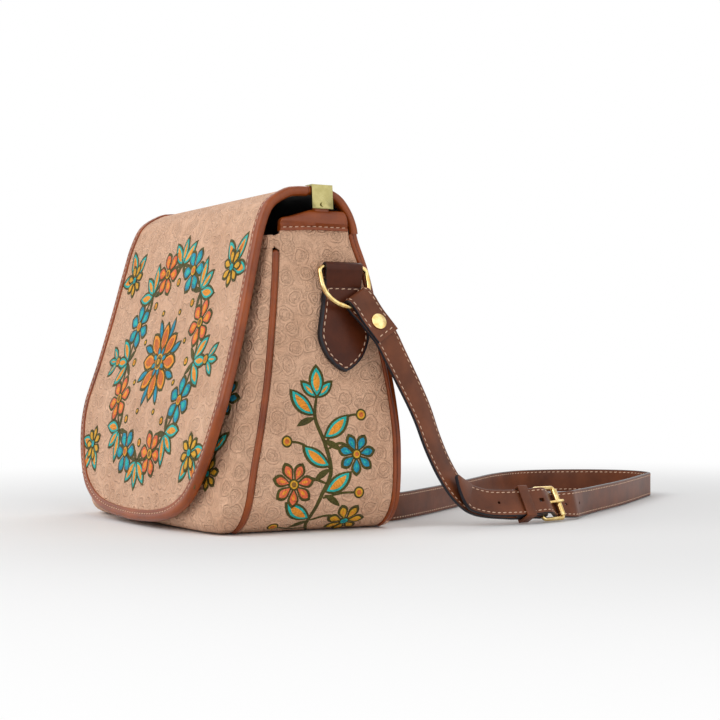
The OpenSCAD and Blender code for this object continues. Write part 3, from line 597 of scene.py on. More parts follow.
def printed(name, low, high):
    """Ink printed on the embossed leather: flat colour that keeps the curls' relief, darkened in their
    hollows as painted shade.
    """
    return leather(name, low, high, 0.55, shine=0.2, emboss=0.7 * size("curl_depth"), grain_depth=0.08)


def metal(name, low, high, rough):
    """Polished brass plate: hand wear shows as faint clouds and fine scratches."""
    m, t, shader, where = finish(name, Metallic=1.0)
    cloud = noise(t, where, 0.25, 3.0)
    link(t, shader, {"Base Color": two_tone(t, cloud, low, high, 0.35, 0.65),
                     "Roughness": graded(t, cloud, 0.3, 0.7, rough * 0.8, rough * 1.5),
                     "Normal": relief(t, noise(t, where, 2.2), 0.08, 0.01)})
    return m


def cloth(name, low, high):
    """Plain-woven cotton lining; threads are drawn 0.7 mm apart so that the weave shows."""
    m, t, shader, where = finish(name, **{"Roughness": 0.85, "Specular IOR Level": 0.25,
                                          "Sheen Weight": 0.25, "Sheen Roughness": 0.5})
    weave = node(t, "ShaderNodeMath", {"operation": "MULTIPLY"},
                 {0: waves(t, where, 0.45, "X"), 1: waves(t, where, 0.45, "Z")}).outputs[0]
    threads = relief(t, weave, 0.6, 0.1)
    link(t, shader, {"Base Color": two_tone(t, weave, low, high),
                     "Normal": relief(t, noise(t, where, 0.03), 0.5, 2.5, threads)})
    return m


def thread_finish(name, low, high):
    """Waxed polyester sewing thread, its twist drawn 0.5 mm long."""
    m, t, shader, where = finish(name, **{"Roughness": 0.6, "Specular IOR Level": 0.4})
    twist = waves(t, where, 0.7, "DIAGONAL")
    link(t, shader, {"Base Color": two_tone(t, twist, low, high), "Normal": relief(t, twist, 0.5, 0.1)})
    return m


HIDE = "hide"
M = {}


def make_finishes(c):
    """Fills M with every finish, in the colours of the panel's settings."""
    # Vegetable-tanned cowhide pressed by an engraved roller: matt, with painted shade darkening its hollows
    M["tan"] = leather("embossed_cowhide", c.tan_low, c.tan_high, 0.56, emboss=size("curl_depth"))
    # Glazed calf for bindings and cords: smooth and glossy
    M["binding"] = leather("glazed_calf", c.binding_low, c.binding_high, 0.32, shine=0.28, coat=0.15,
                           grain_depth=0.1)
    # Waxed bridle leather of the strap: fine pores and a low shine
    M["strap"] = leather("bridle_leather", c.strap_low, c.strap_high, 0.45, shine=0.24, coat=0.04)
    # The side tabs' leather: the strap's leather painted darker, as painted shade on the tabs
    M["tab"] = leather("tab_leather_painted_shade", c.tab_low, c.tab_high, 0.4, shine=0.18, coat=0.04)
    # Acrylic edge paint: a dark, slightly lumpy film
    M["edge"] = leather("edge_paint", c.edge_low, c.edge_high, 0.38, grain_depth=0.1, grain_scale=0.8)
    M["thread"] = thread_finish("waxed_thread", c.thread_low, c.thread_high)
    M["brass"] = metal("pale_brass", c.brass_low, c.brass_high, 0.2)
    # Warmer plating on the rings, the rivets and the buckle
    M["gilt"] = metal("gilt_zinc", c.gilt_low, c.gilt_high, 0.14)
    M["steel"] = metal("nickel_magnet_plate", "#A9A79F", "#C9C6BC", 0.3)
    M["cloth"] = cloth("cotton_lining", c.lining_low, c.lining_high)
    # Grey board between the lining and the base
    M["board"] = cloth("grey_board", "#3B3733", "#4A4540")
    inks = {"olive": ("#453F1C", "#55501F"), "turquoise": ("#22A9A2", "#35C2B8"),
            "teal": ("#1A7F9E", "#2A9BB8"), "orange": ("#F08F28", "#F8A63C"),
            "burnt": ("#C9622C", "#DC7A3E"), "ochre": ("#D99B22", "#EBB338"),
            "coral": ("#E0603A", "#F07C52"), "bronze": ("#7A5424", "#8E6630")}
    for key, (low, high) in inks.items():
        M[key] = printed("ink_" + key, low, high)


# Where the pieces lie
def back_y(z, depth):
    line = back_skin - BACK.n * depth
    rising = back_skin[:, 1] < MOUTH_Z + SKIN_RISE / 3
    return np.interp(z, line[rising, 1], line[rising, 0])


def gusset_front_y(z):
    return front_seam_y(z) + FRONT_CORD_R + CORD_GAP


def gusset_back_y(z):
    return back_y(z, PANEL_T + 2 * BACK_CORD_R + 0.5)


def body_side(top_z, inset, count=90):
    """The body's outline from the base round the corner and up a side as (x, z), with its outward way."""
    a = np.linspace(-math.pi / 2, LEAN, 26)
    arc = stacked(CORNER_X + (CORNER_R - inset) * np.cos(a), CORNER_R + (CORNER_R - inset) * np.sin(a))
    arc_out = stacked(np.cos(a), np.sin(a))
    z = np.linspace(arc[-1, 1], top_z, count)[1:]
    side = stacked(side_x(z) - inset / math.cos(LEAN), z)
    side_out = np.broadcast_to([math.cos(LEAN), math.sin(LEAN)], side.shape)
    return np.vstack([arc, side]), np.vstack([arc_out, side_out])


def front_place(t, z, depth):
    """The front shell at height z and share t (-1 to 1) across, depth inside its skin."""
    low = np.maximum(z - depth, 0)
    edge = front_seam_y(z) - FRONT_CORD_R - CORD_GAP
    inner = flap_inner(np.maximum(low, FLAP_CLEAR))
    edge_low = front_seam_y(low) - FRONT_CORD_R - CORD_GAP
    bulge = np.maximum(edge_low - inner - FLAP_GAP - depth, 0.1)
    foot = np.where(low >= FOOT_R, 1, np.power(1 - np.power(np.clip(1 - low / FOOT_R, 0, 1), 3), 1 / 3))
    bulge = bulge * foot
    half = body_half(low) - depth
    x = np.sign(t) * np.power(np.abs(np.sin(t * math.pi / 2)), 2 / FRONT_SQUARE)
    y = np.power(np.abs(np.cos(t * math.pi / 2)), 2 / FRONT_SQUARE)
    return stacked(half * x, edge - bulge * y, z)


def flap_inner(z):
    line = flap_skin - FLAP.n * FLAP_T
    rising = flap_skin[:, 1] < MOUTH_Z + SKIN_RISE / 2
    return np.interp(z, line[rising, 1], line[rising, 0])


# Shares across the front shell, close together where it turns into its sides
half_t = np.concatenate([np.linspace(0, 0.35, 20) ** 2.2 / 0.35 ** 1.2, np.linspace(0.35, 1, 26)[1:]])
FRONT_T = np.concatenate([-half_t[::-1], half_t[1:]])
FRONT_Z = np.concatenate([[0, 0.25, 0.8, 1.8, 3.2, 5, 7.2, 10, 13], np.linspace(17, LIP_Z, 44)])


def mirrored(obj, name):
    """A left-hand copy of a right-hand piece, with its own mesh."""
    pick(obj)
    bpy.ops.object.duplicate()
    twin = named(bpy.context.object, name)
    twin.data.transform(Matrix.Scale(-1, 4, (1, 0, 0)))
    edit(twin, (bpy.ops.mesh.flip_normals, {}))
    return twin


def place_both(obj, slot, part="", bodies=("bag", "bag")):
    """Places a right-hand piece and its left-hand copy; part names the CAD nodes that they stand for."""
    twin = mirrored(obj, obj.name.replace("right", "left"))
    for o, side, body in ((obj, "right_", bodies[0]), (twin, "left_", bodies[1])):
        place(o, body, slot, *([side + part] if part else []))


def on_line(points, line):
    """How far along a line lies the place on it that is nearest to each point."""
    s = lengths(line)
    fine = np.linspace(0, s[-1], 1200)
    places = stacked(np.interp(fine, s, line[:, 0]), np.interp(fine, s, line[:, 1]))
    return np.array([fine[np.argmin(((places - p) ** 2).sum(1))] for p in points])


# The pattern pieces lie this far (mm) from the flap's on the flat hide, so that none shows the same curls
GUSSET_APART, FRONT_APART, BASE_APART = 500, 700, 900


def flap_flat(v):
    return v[:, 0], on_line(v[:, 1:], flap_skin)


def back_flat(v):
    return v[:, 0], on_line(v[:, 1:], back_skin)


def gusset_flat(v):
    path, _ = body_side(MOUTH_Z, 0)
    return v[:, 1] + GUSSET_APART * np.sign(v[:, 0]), on_line(np.abs(v[:, ::2]), path)


def front_flat(v):
    return v[:, 0] + np.tanh(v[:, 0] / 40) * (v[:, 1] + BASE_D), v[:, 2] + FRONT_APART


def base_flat(v):
    return v[:, 0], v[:, 1] + BASE_APART


def flattened(obj, flat):
    """Stores where each vertex lies on the flat hide, in millimetres, for the embossing."""
    u, w = flat(read(obj.data.vertices, "co") / MM)
    hide = obj.data.attributes.new(HIDE, "FLOAT_VECTOR", "POINT")
    hide.data.foreach_set("vector", stacked(u, w, np.zeros_like(u)).astype(np.float32).ravel())


def line_inside(obj, skin):
    """Gives the faces that look inwards the second material."""
    for f in obj.data.polygons:
        c = np.array(f.center) / MM
        z = np.clip(c[2], skin.z_rise[0], skin.z_rise[-1])
        s = skin.s_at(z) if c[2] < MOUTH_Z + 0.8 * SKIN_RISE else skin.total
        if np.array(f.normal) @ skin.out(s) < -0.3:
            f.material_index = 1


def over_fold(obj, slot, *nodes):
    """Bakes the place of a piece that bends over the fold into its mesh, and hides the CAD nodes that it
    stands for.
    """
    if nodes:
        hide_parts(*nodes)
    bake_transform(obj)


def make_flap():
    x, s = np.moveaxis(patch(flap_side(), FLAP_EDGE[4][1] * MOUTH_Z, FLAP, 96, 110), -1, 0)
    obj = sheet_of("flap_leather", FLAP.at(x, s), FLAP.at(x * 0.995, s, -FLAP_T + SHY))
    paint(obj, M["tan"], M["cloth"])
    line_inside(obj, FLAP)
    flattened(obj, flap_flat)
    over_fold(obj, "panel_leather", "flap_panel")


def flap_edge_path():
    """The flap's whole edge from the left end of the fold round to the right end, as (x, s)."""
    half = flap_side()
    return np.vstack([half[::-1] * [-1, 1], half[1:]])


def edge_frames(path, skin, depth):
    """Places along a panel's edge at depth in its thickness, with the ways inward and out."""
    d = unit(np.gradient(path, axis=0))
    inward = stacked(-d[:, 1], d[:, 0])
    s, eps = path[:, 1], 0.5
    along_s = unit(skin.at(0, np.minimum(s + eps, skin.total)) - skin.at(0, np.maximum(s - eps, 0)))
    side = inward[:, :1] * [1, 0, 0] + inward[:, 1:] * along_s
    return skin.at(path[:, 0], s, -depth), side, skin.out(s)


# The stitching's groove lies this far in from a binding's inner edge
GROOVE = 2.8


def binding_ring(t, reach=BINDING_W, plump=BINDING_T):
    """Cross-section of a folded binding over an edge of thickness t: (inward, out) offsets."""
    h = t / 2 + plump
    half = [(reach, t / 2 - 0.3), (reach, h - 0.55), (reach - 0.35, h - 0.12), (reach - 1.8, h - 0.02),
            (reach - GROOVE, h - 0.32), (reach - 3.6, h), (reach * 0.42, h + 0.12), (1.2, h),
            (0.1, h - 0.5), (-0.75, h * 0.66), (-plump * 0.94, h * 0.3)]
    return np.array(half + [(a, -b) for a, b in half[::-1]])


def make_flap_binding():
    path = resampled(flap_edge_path(), 300)
    c, side, up = edge_frames(path, FLAP, FLAP_T / 2)
    obj = swept("flap_edge_binding", c, side, up, binding_ring(FLAP_T))
    over_fold(paint(obj, M["binding"]), "binding_leather", "flap_binding")
    trim = slice(4, -4)
    for tag, sign in (("outer", 1), ("inner", -1)):
        line = c + side * (BINDING_W - GROOVE) + up * sign * (FLAP_T / 2 + BINDING_T)
        over_fold(sewn_along("flap_stitches_" + tag, line[trim], up[trim] * sign), "binding_leather")


def make_back():
    x, s = np.moveaxis(patch(back_side(), 9.0, BACK, 96, 110), -1, 0)
    obj = sheet_of("back_leather", BACK.at(x, s), BACK.at(x * 0.997, s, -PANEL_T + SHY), edge_round=0.5)
    paint(obj, M["tan"], M["cloth"], M["binding"])
    line_inside(obj, BACK)
    # The bound rim that shows beside the gussets
    for f in obj.data.polygons:
        if abs(f.normal.x) > 0.5 and f.center.z < 0.212:
            f.material_index = 2
    flattened(obj, back_flat)
    place(obj, "bag", "panel_leather", "back_panel")


def make_arch_bindings():
    s = np.linspace(BACK.s_at(MOUTH_Z - 4.8), BACK.total, 60)
    z = np.interp(s, BACK.s, back_skin[:, 1])
    path = stacked(side_x(z), s)
    c, side, up = edge_frames(path, BACK, PANEL_T / 2)
    # A little thicker than on the panel alone, so that it runs on into the flap's binding
    obj = swept("right_arch_edge_binding", c, side, up, binding_ring(PANEL_T + 0.6))
    place_both(paint(obj, M["binding"]), "binding_leather", "arch_binding")
    line = c + side * (BINDING_W - GROOVE) + up * (PANEL_T / 2 + BINDING_T + 0.1)
    place_both(sewn_along("right_arch_stitches", line, up), "binding_leather")


def make_front():
    t, z = FRONT_T[None, :], FRONT_Z[:, None]
    outer = front_place(t, z, 0)
    inner = front_place(t, mix(PANEL_T, LIP_Z, z / LIP_Z), PANEL_T - SHY)
    obj = sheet_of("front_leather", outer, inner)
    paint(obj, M["tan"])
    flattened(obj, front_flat)
    place(obj, "bag", "panel_leather", "front_panel")
    # Binding over the lip
    c = front_place(FRONT_T, np.full(len(FRONT_T), LIP_Z), PANEL_T / 2)
    side, up = frames(c, (0, 0, 1))
    w = PANEL_T / 2 + BINDING_T + 0.5
    ring = np.array([(w, -8), (w + 0.1, -7.4), (w + 0.1, -1), (w * 0.8, 0.6), (w * 0.4, 1.25), (0, 1.4),
                     (-w * 0.4, 1.25), (-w * 0.8, 0.6), (-w - 0.1, -1), (-w - 0.1, -7.4), (-w, -8)])
    lip = swept("mouth_edge_binding", c, side, up, ring)
    paint(lip, M["tan"])
    flattened(lip, front_flat)
    place(lip, "bag", "binding_leather", "mouth_binding")


def gusset_dip(share, z):
    """How far a gusset sags inwards at a share of its depth and a height."""
    return 0.5 * np.sin(share * math.pi) ** 2 * np.clip((z - 20) / 60, 0, 1)


def make_gussets():
    path, _ = body_side(MOUTH_Z - 0.3, 0, 110)
    path_in, _ = body_side(MOUTH_Z - 0.3, GUSSET_T - SHY, 110)
    across = np.linspace(0, 1, 34)

    def grid(path):
        x, z = path[:, :1], path[:, 1:]
        # Above the cord's end the gusset reaches forward to the front panel, up to its lip
        above_cord = np.clip((z - CORD_TOP - 3) / 2, 0, 1) * np.clip((LIP_Z + 2 - z) / 1.2, 0, 1)
        y = mix(gusset_front_y(z) - 2 * FRONT_CORD_R * 0.86 * above_cord, gusset_back_y(z), across)
        return stacked(x - gusset_dip(across, z), y, z)

    obj = sheet_of("right_gusset_leather", grid(path), grid(path_in))
    paint(obj, M["tan"])
    flattened(obj, gusset_flat)
    place_both(obj, "panel_leather", "gusset")


def make_base():
    x = np.linspace(-CORNER_X + 0.1, CORNER_X - 0.1, 60)
    y = np.linspace(gusset_front_y(0.0), gusset_back_y(0.0), 30)
    outer = stacked(x[None, :], y[:, None], 0.0)
    obj = sheet_of("base_leather", outer, outer + [0, 0, GUSSET_T])
    paint(obj, M["tan"])
    flattened(obj, base_flat)
    place(obj, "bag", "panel_leather", "base_panel")
    paint(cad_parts["base_board"], M["board"])


def gusset_place(out, y, up):
    """A place given in the right gusset's own frame: out of its face, y, and up along it."""
    return stacked(BODY_W / 2 + out * math.cos(LEAN) - up * math.sin(LEAN), y,
                   out * math.sin(LEAN) + up * math.cos(LEAN))


GUSSET_OUT = gusset_place(1.0, 0, 0) - gusset_place(0.0, 0, 0)
# The edge clip's width and middle, as in the part's source
CLIP_W = 16.6
CLIP_Y = FOLD_Y + 0.15 + 1.8 + CLIP_W / 2
# The roll's radius and rise at its front end and beside the clip, and how far its skirt lifts there
ROLL_R_FRONT, ROLL_R, ROLL_HUMP, SKIRT_LIFT = 3.7, 4.4, 3.3, 1.6
ROLL_END = 3.2
# Half of the roll's section below its round, as (out, up) from the gusset's top: skirt, groove, shoulder
ROLL_SKIRT = [(2.45, -5.2), (2.62, -4.6), (2.55, -3.2), (2.2, -2.9), (2.55, -2.5), (3.0, -0.6)]


def make_gusset_bindings():
    y0, y1 = gusset_front_y(MOUTH_Z) - 0.7, gusset_back_y(MOUTH_Z) - 0.2
    top, mid = MOUTH_Z / math.cos(LEAN), -GUSSET_T / 2

    def climb(y):
        """The roll climbs from the mouth's front corner to the clip, then runs on level."""
        t = np.clip((y - y0) / (CLIP_Y - 6.5 - y0), 0, 1)
        return t * t * (3 - 2 * t) * 0.5 + t * 0.5

    rows = []
    for y in np.linspace(y0, y1, 70):
        rise = float(climb(y))
        # Both ends of the roll are rounded off
        e = min((y - y0) / ROLL_END, (y1 - y) / ROLL_END, 1.0)
        e = math.sqrt(max(1 - (1 - e) ** 2, 0.0))
        r = mix(ROLL_R_FRONT, ROLL_R, rise)
        half = ROLL_SKIRT + [(r * math.cos(a), 3.4 + (r + ROLL_HUMP * rise) * math.sin(a))
                             for a in np.radians(np.linspace(-35, 90, 9))]
        ring = np.array(half + [(-a, b) for a, b in half[::-1]])
        high = ring[:, 1] > -1
        x = mid + ring[:, 0] * np.where(high, 0.55 + 0.45 * e, 1)
        z = top + np.where(high, ring[:, 1] * (0.35 + 0.65 * e) * mix(0.6, 1, rise),
                           ring[:, 1] + SKIRT_LIFT * rise)
        rows.append(gusset_place(x, y, z))
    roll = lofted("right_gusset_roll", np.array(rows))
    # The lug behind the clip
    z = np.linspace(top + 4, top + 18.2, 12)
    lug = swept("right_lug", gusset_place(mid, CLIP_Y, z), np.tile(GUSSET_OUT, (12, 1)),
                np.tile([0.0, 1, 0], (12, 1)), soft_box(5.0, 11.4, 1.2))
    roll = joined("right_gusset_roll", [roll, lug])
    place_both(paint(roll, M["binding"]), "binding_leather", "gusset_binding")
    y = np.linspace(y0 + 1, y1 - 1, 60)
    line = gusset_place(mid + 2.35, y, top - 2.85 + SKIRT_LIFT * climb(y))
    place_both(sewn_along("right_roll_stitches", line, GUSSET_OUT), "binding_leather")


def seam_cord_path(r, top_z, y_of):
    """A cord's middle along a body seam: up one side, across the foot and up the other."""
    inset = r - CORD_PROUD
    path, _ = body_side(top_z, inset, 60)
    path = path[path[:, 1] >= r] if path[0, 1] < r else path
    side = np.vstack([[[CORNER_X * k, r] for k in np.linspace(0, 0.99, 16)], path])
    whole = np.vstack([side[::-1] * [-1, 1], side[1:]])
    return stacked(whole[:, 0], y_of(whole[:, 1]), whole[:, 1])


# A cord's rounded end: (distance past the end, width), both as shares of the cord's radius
CORD_END = [(1.0, 0.25), (0.86, 0.6), (0.5, 0.87)]


def make_cords():
    for name, r, top_z, y_of, cad in (
            ("front_seam_cord", FRONT_CORD_R, CORD_TOP, front_seam_y, "front_piping"),
            ("back_seam_cord", BACK_CORD_R, MOUTH_Z - 6.5, lambda z: back_y(z, PANEL_T + BACK_CORD_R + 0.3),
             "back_piping")):
        p = resampled(seam_cord_path(r, top_z, y_of), 280)
        side, up = frames(p, (0, 1, 0))
        past, wide = np.array(CORD_END).T[..., None]
        c = np.vstack([p[0] + unit(p[0] - p[1]) * r * past, p, p[-1] + unit(p[-1] - p[-2]) * r * past[::-1]])
        side, up = (np.vstack([v[:1] * wide, v, v[-1:] * wide[::-1]]) for v in (side, up))
        obj = swept(name, c, side, up, round_ring(r))
        place(paint(obj, M["binding"]), "bag", "binding_leather", cad)


def make_linings():
    for cad, name, bevel in (("lining", "pouch_lining", 0.25), ("front_lining", "front_pouch_lining", 0),
                             ("slip_pocket", "lining_pocket", 0.25)):
        place(dressed(cad, name, M["cloth"], bevel, cut=0.5), "bag", "lining_cloth", cad)


# Side tabs, rings and clips
TAB_Y, TAB_LEN, TAB_W, TAB_LOOP_W, TAB_T = 19.0, 74.0, 40.0, 29.4, 2.2
RING_WIRE, RING_W, RING_SIDE, RING_TILT = 3.4, 41.2, 11.0, math.radians(16)
BAR_UP = 0.863 * MOUTH_Z
LOOP_R = RING_WIRE / 2 + 0.08 + TAB_T
BAR_OUT = LOOP_R + 0.1
# The shield's half outline under the loop, as shares of the tab's half width and length
SHIELD = [(0.735, 0.1), (0.77, 0.26), (0.88, 0.45), (0.99, 0.6), (0.97, 0.71), (0.7, 0.86), (0.3, 0.96),
          (0, 1)]
SHIELD_T, SHIELD_CROWN = 1.8 * TAB_T, 0.5
SHIELD_TOP = -0.12 * TAB_LEN
# How far the edge paint laps over the shield's face, and how far in from its edge the stitches lie
PAINT_LAP, TAB_SEAM = 1.6, 3.0


def make_tabs():
    side = smooth_line([(x * TAB_W / 2, -z * TAB_LEN) for x, z in SHIELD], 8)
    # The shield: rows follow its length, columns run across, its edge rounded over
    u = np.array([0, 0.3, 0.6, 0.8, 0.9, 0.95, 0.985, 1])
    u = np.concatenate([-u[:0:-1], u])
    flat = stacked(u * np.maximum(side[:, :1], 0.02), side[:, 1:])

    def surface(depth, crown):
        return gusset_place(0.1 + depth + crown * (1 - u ** 6), TAB_Y + flat[..., 0], BAR_UP + flat[..., 1])

    shield = sheet_of("right_tab_shield", surface(SHIELD_T - SHIELD_CROWN, SHIELD_CROWN), surface(0.0, 0.0),
                      edge_round=0.55)
    # The loop: leather round the ring's bar, down both its sides and into the shield
    mid_r = LOOP_R - TAB_T / 2
    front = [(mix(mid_r - 0.1, SHIELD_T - BAR_OUT - 0.4, k), -mix(1.6, 13.5, k))
             for k in np.linspace(1, 0, 9)]
    turn = mid_r * np.array([ray(a) for a in np.linspace(-28, 180, 26)[2:]])
    loop = resampled(smooth_line([*front, *turn, (-mid_r, -2), (-mid_r + 0.2, -6)], 3), 70)
    c = gusset_place(BAR_OUT + loop[:, 0], TAB_Y, BAR_UP + loop[:, 1])
    across = np.tile([0.0, 1, 0], (len(c), 1))
    collar = swept("right_tab_loop", c, across, np.cross(unit(np.gradient(c, axis=0)), across),
                   soft_box(TAB_LOOP_W, TAB_T, 0.7))
    tab = paint(joined("right_tab", [shield, collar]), M["tab"], M["edge"])
    # Edge paint covers the cut edges and laps over the shield's face
    outline = resampled(side, 200)
    upward = np.cross(GUSSET_OUT, [0, 1, 0])
    for f in tab.data.polygons:
        n, at = np.array(f.normal), np.array(f.center) / MM
        on_face = np.array([abs(at[1] - TAB_Y), (at - [BODY_W / 2, 0, 0]) @ upward - BAR_UP])
        lap = on_face[1] < SHIELD_TOP and np.linalg.norm(outline - on_face, axis=1).min() < PAINT_LAP
        if lap or (abs(n @ GUSSET_OUT) < 0.55 and (at[2] < 178 or abs(n[1]) > 0.75)):
            f.material_index = 1
    place_both(finish_edges(tab), "strap_leather", "side_tab")
    inner = side[side[:, 1] < SHIELD_TOP]
    d = unit(np.gradient(inner, axis=0))
    inner = inner + TAB_SEAM * stacked(d[:, 1], -d[:, 0])
    inner = inner[inner[:, 0] > 0]
    whole = np.vstack([inner * [-1, 1], [[0, inner[-1, 1] - 0.4]], inner[::-1]])
    # A second row, across the tab, holds the loop's end down
    low = np.linspace(2.2 - TAB_LOOP_W / 2, TAB_LOOP_W / 2 - 2.2, 12)
    for name, y, up in (("right_tab_stitches", whole[:, 0], whole[:, 1]),
                        ("right_loop_stitches", low, -15.2)):
        line = gusset_place(SHIELD_T + 0.22, TAB_Y + y, BAR_UP + up)
        place_both(sewn_along(name, line, GUSSET_OUT), "strap_leather")


def make_clips():
    for n in ("snap_socket", "snap_back_plate", "snap_stud"):
        paint(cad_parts[n], M["steel"])
    paint(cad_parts["clip_screws"], M["brass"])
    for side in ("right", "left"):
        clip = dressed(side + "_edge_clip", side + "_clip_plate", M["brass"], bevel=0.55, segments=4)
        place(clip, "bag", "brass", side + "_edge_clip")


def ring_place(p):
    """Places in the right D-ring's own frame, its bar along y and its bow hanging down."""
    along, rise = math.cos(RING_TILT), math.sin(RING_TILT)
    return gusset_place(BAR_OUT + p[..., 0] * along - p[..., 2] * rise, TAB_Y + p[..., 1],
                        BAR_UP + p[..., 0] * rise + p[..., 2] * along)


def settled(obj, to_place):
    """Moves a piece modelled about the origin into the frame that to_place gives, inside its mesh."""
    o, x, y, z = to_place(np.vstack([np.zeros(3), np.eye(3)]))
    m = Matrix.Identity(4)
    for k, v in enumerate((x - o, y - o, z - o, o * MM)):
        m.col[k][:3] = v
    pick(obj)
    obj.matrix_world = m @ obj.matrix_world
    freeze()
    outward(obj)
    return finish_edges(obj, 35)


def started(name, primitive, **settings):
    """A new primitive in edit mode, all of it selected and nothing else."""
    deselect()
    primitive(**settings)
    bpy.ops.object.mode_set(mode="EDIT")
    return named(bpy.context.object, name)


def bent_wire(name, r, axis, steps):
    """A round wire from the origin along +Y, drawn out and bent about axis by (length, degrees, radius)."""
    obj = started(name, bpy.ops.mesh.primitive_circle_add, vertices=18, radius=r * MM,
                  rotation=(math.pi / 2, 0, 0))
    at, way, axis = Vector((0, 0, 0)), Vector((0, 1, 0)), Vector(axis)
    for length, turn, bend in steps:
        if length:
            bpy.ops.mesh.extrude_region_move(TRANSFORM_OT_translate={"value": way * length * MM})
            at += way * length
        if turn:
            centre = at + way.cross(axis) * bend
            bpy.ops.mesh.spin(steps=max(int(turn / 9), 4), angle=math.radians(turn), center=centre * MM,
                              axis=axis)
            back = Matrix.Rotation(-math.radians(turn), 3, axis)
            at, way = centre + back @ (at - centre), back @ way
    bpy.ops.object.mode_set(mode="OBJECT")
    return obj


def make_rings():
    """Both D-rings: a straight bar, tight elbows, short sides and a half-round bow."""
    bow, elbow = (RING_W - RING_WIRE) / 2, 4.0
    side = [(bow - elbow, 90, elbow), (RING_SIDE - elbow, 0, 0)]
    steps = side + [(0, 180, bow), (RING_SIDE - elbow, 90, elbow), (bow - elbow, 0, 0)]
    obj = settled(bent_wire("right_ring_wire", RING_WIRE / 2, (1, 0, 0), steps), ring_place)
    place_both(paint(obj, M["gilt"]), "brass", "d_ring", ("right_ring", "left_ring"))


# Strap and buckle
# The middle of the buckle's bar and the ways along the strap, up its width and out of its face there
BUCKLE_AT = np.array([136.0, 181.0, 13.1342])
BUCKLE_WAY = np.array([-0.0995037, 0.995037, 0])
BUCKLE_UP = np.array([-0.497519, -0.0497519, 0.866025])
BUCKLE_OUT = np.array([0.861727, 0.0861727, 0.5])
BUCKLE_LEN = 20.0
HOLE_R, HOLE_PITCH = 1.2, 25.0
# Openings at the buckle as (from, to, half width, from, to) along the strap, up its width and out of its
# face: the hole that the pin is in, the fold's slot for the pin's eye, and the tongue's small hole over
# that slot, which takes the pin swung open
PIN_HOLE = (2.4, 19.0, 1.5, -1.5, 1.5)
FOLD_SLOT = (-3.5, 8.9, 1.6, -4.0, 6.0)
SWING_HOLE = (-4.6, -0.2, 1.5, 4.6, 8.4)
# The strap's stitches: how far in from its edge, and how far their middle stands off the strap's middle
STRAP_SEAM, STITCH_UP = 2.3, STRAP_T / 2 + 0.02
PRONG_RISE = math.asin(3.7 / BUCKLE_LEN)


def at_buckle(p):
    """Places given along the strap, up its width and out of its face at the buckle's bar."""
    p = np.asarray(p, float)
    return BUCKLE_AT + p[..., :1] * BUCKLE_WAY + p[..., 1:2] * BUCKLE_UP + p[..., 2:] * BUCKLE_OUT


# A station of the strap holds its centre, the way across it and the share of its width there
RING_WAY, TILTED, UPRIGHT = (-0.184, 0.848, 0.497), (-0.498, -0.05, 0.866), (0, 0, 1)


def stations(way, *centres):
    """Stations of the whole strap with the same way across it."""
    return [(*centre, *way, 1) for centre in centres]


def on_floor(*places):
    """Stations of the strap standing on its edge on the floor."""
    return stations(UPRIGHT, *((x, y, STRAP_W / 2) for x, y in places))


# The fold round the right ring; the left one is its mirror image
RIGHT_FOLD = stations(RING_WAY, (143.05, 44.93, 137.49), (139.68, 38.88, 146.56), (137.93, 35.7, 151.34),
                      (136.91, 32.52, 156.4), (136.5, 30.13, 160.32), (134.89, 27.17, 164.78),
                      (133.97, 26.28, 165.95), (132.46, 25.63, 166.5), (130.76, 25.39, 166.27),
                      (129.32, 25.63, 165.33), (128.53, 26.28, 163.93), (128.61, 27.17, 162.44),
                      (130.29, 30.13, 158.01), (132.54, 32.52, 154.78), (135.07, 35.7, 150.28),
                      (136.87, 38.88, 145.51), (140.24, 44.93, 136.44))
NEAR_STATIONS = (
    RIGHT_FOLD
    + [(140.04, 52.54, 123.48, -0.214, 0.813, 0.541, 1), (139.76, 63.18, 105.29, -0.256, 0.754, 0.604, 1),
       (139.53, 72.12, 89.3, -0.293, 0.695, 0.657, 1), (139.4, 77.28, 78.48, -0.314, 0.657, 0.686, 1),
       (139.31, 80.74, 69.86, -0.328, 0.629, 0.705, 1), (139.22, 84.09, 62.01, -0.341, 0.602, 0.722, 1),
       (139.13, 87.71, 54.54, -0.355, 0.571, 0.74, 1), (139.04, 91.22, 47.83, -0.368, 0.54, 0.757, 1),
       (138.94, 94.97, 41.54, -0.381, 0.505, 0.774, 1), (138.84, 99.08, 35.38, -0.396, 0.466, 0.791, 1),
       (138.72, 103.43, 29.64, -0.41, 0.424, 0.808, 1), (138.6, 108.02, 24.79, -0.424, 0.379, 0.823, 1),
       (138.49, 112.37, 21.11, -0.436, 0.335, 0.835, 1), (138.37, 116.96, 18.33, -0.447, 0.289, 0.846, 1),
       (138.21, 123.25, 16.11, -0.461, 0.227, 0.858, 1), (137.95, 133.4, 14.36, -0.478, 0.128, 0.869, 1),
       (137.64, 145.25, 13.17, -0.492, 0.021, 0.87, 1)]
    + stations(TILTED, (137.42, 153.71, 12.38), (136.66, 161.31, 12.38), (135.79, 170, 12.38),
                       (134.02, 177.99, 11.82), (133.33, 180.73, 11.58), (133.53, 182.31, 11.79),
                       (134.4, 183.54, 12.36), (135.69, 184.09, 13.13), (137.07, 183.81, 13.91),
                       (138.16, 182.77, 14.48), (138.67, 181.27, 14.68), (138.54, 178.44, 14.44),
                       (138.38, 170.26, 13.88), (139.25, 161.57, 13.88), (140.01, 153.97, 13.88))
)
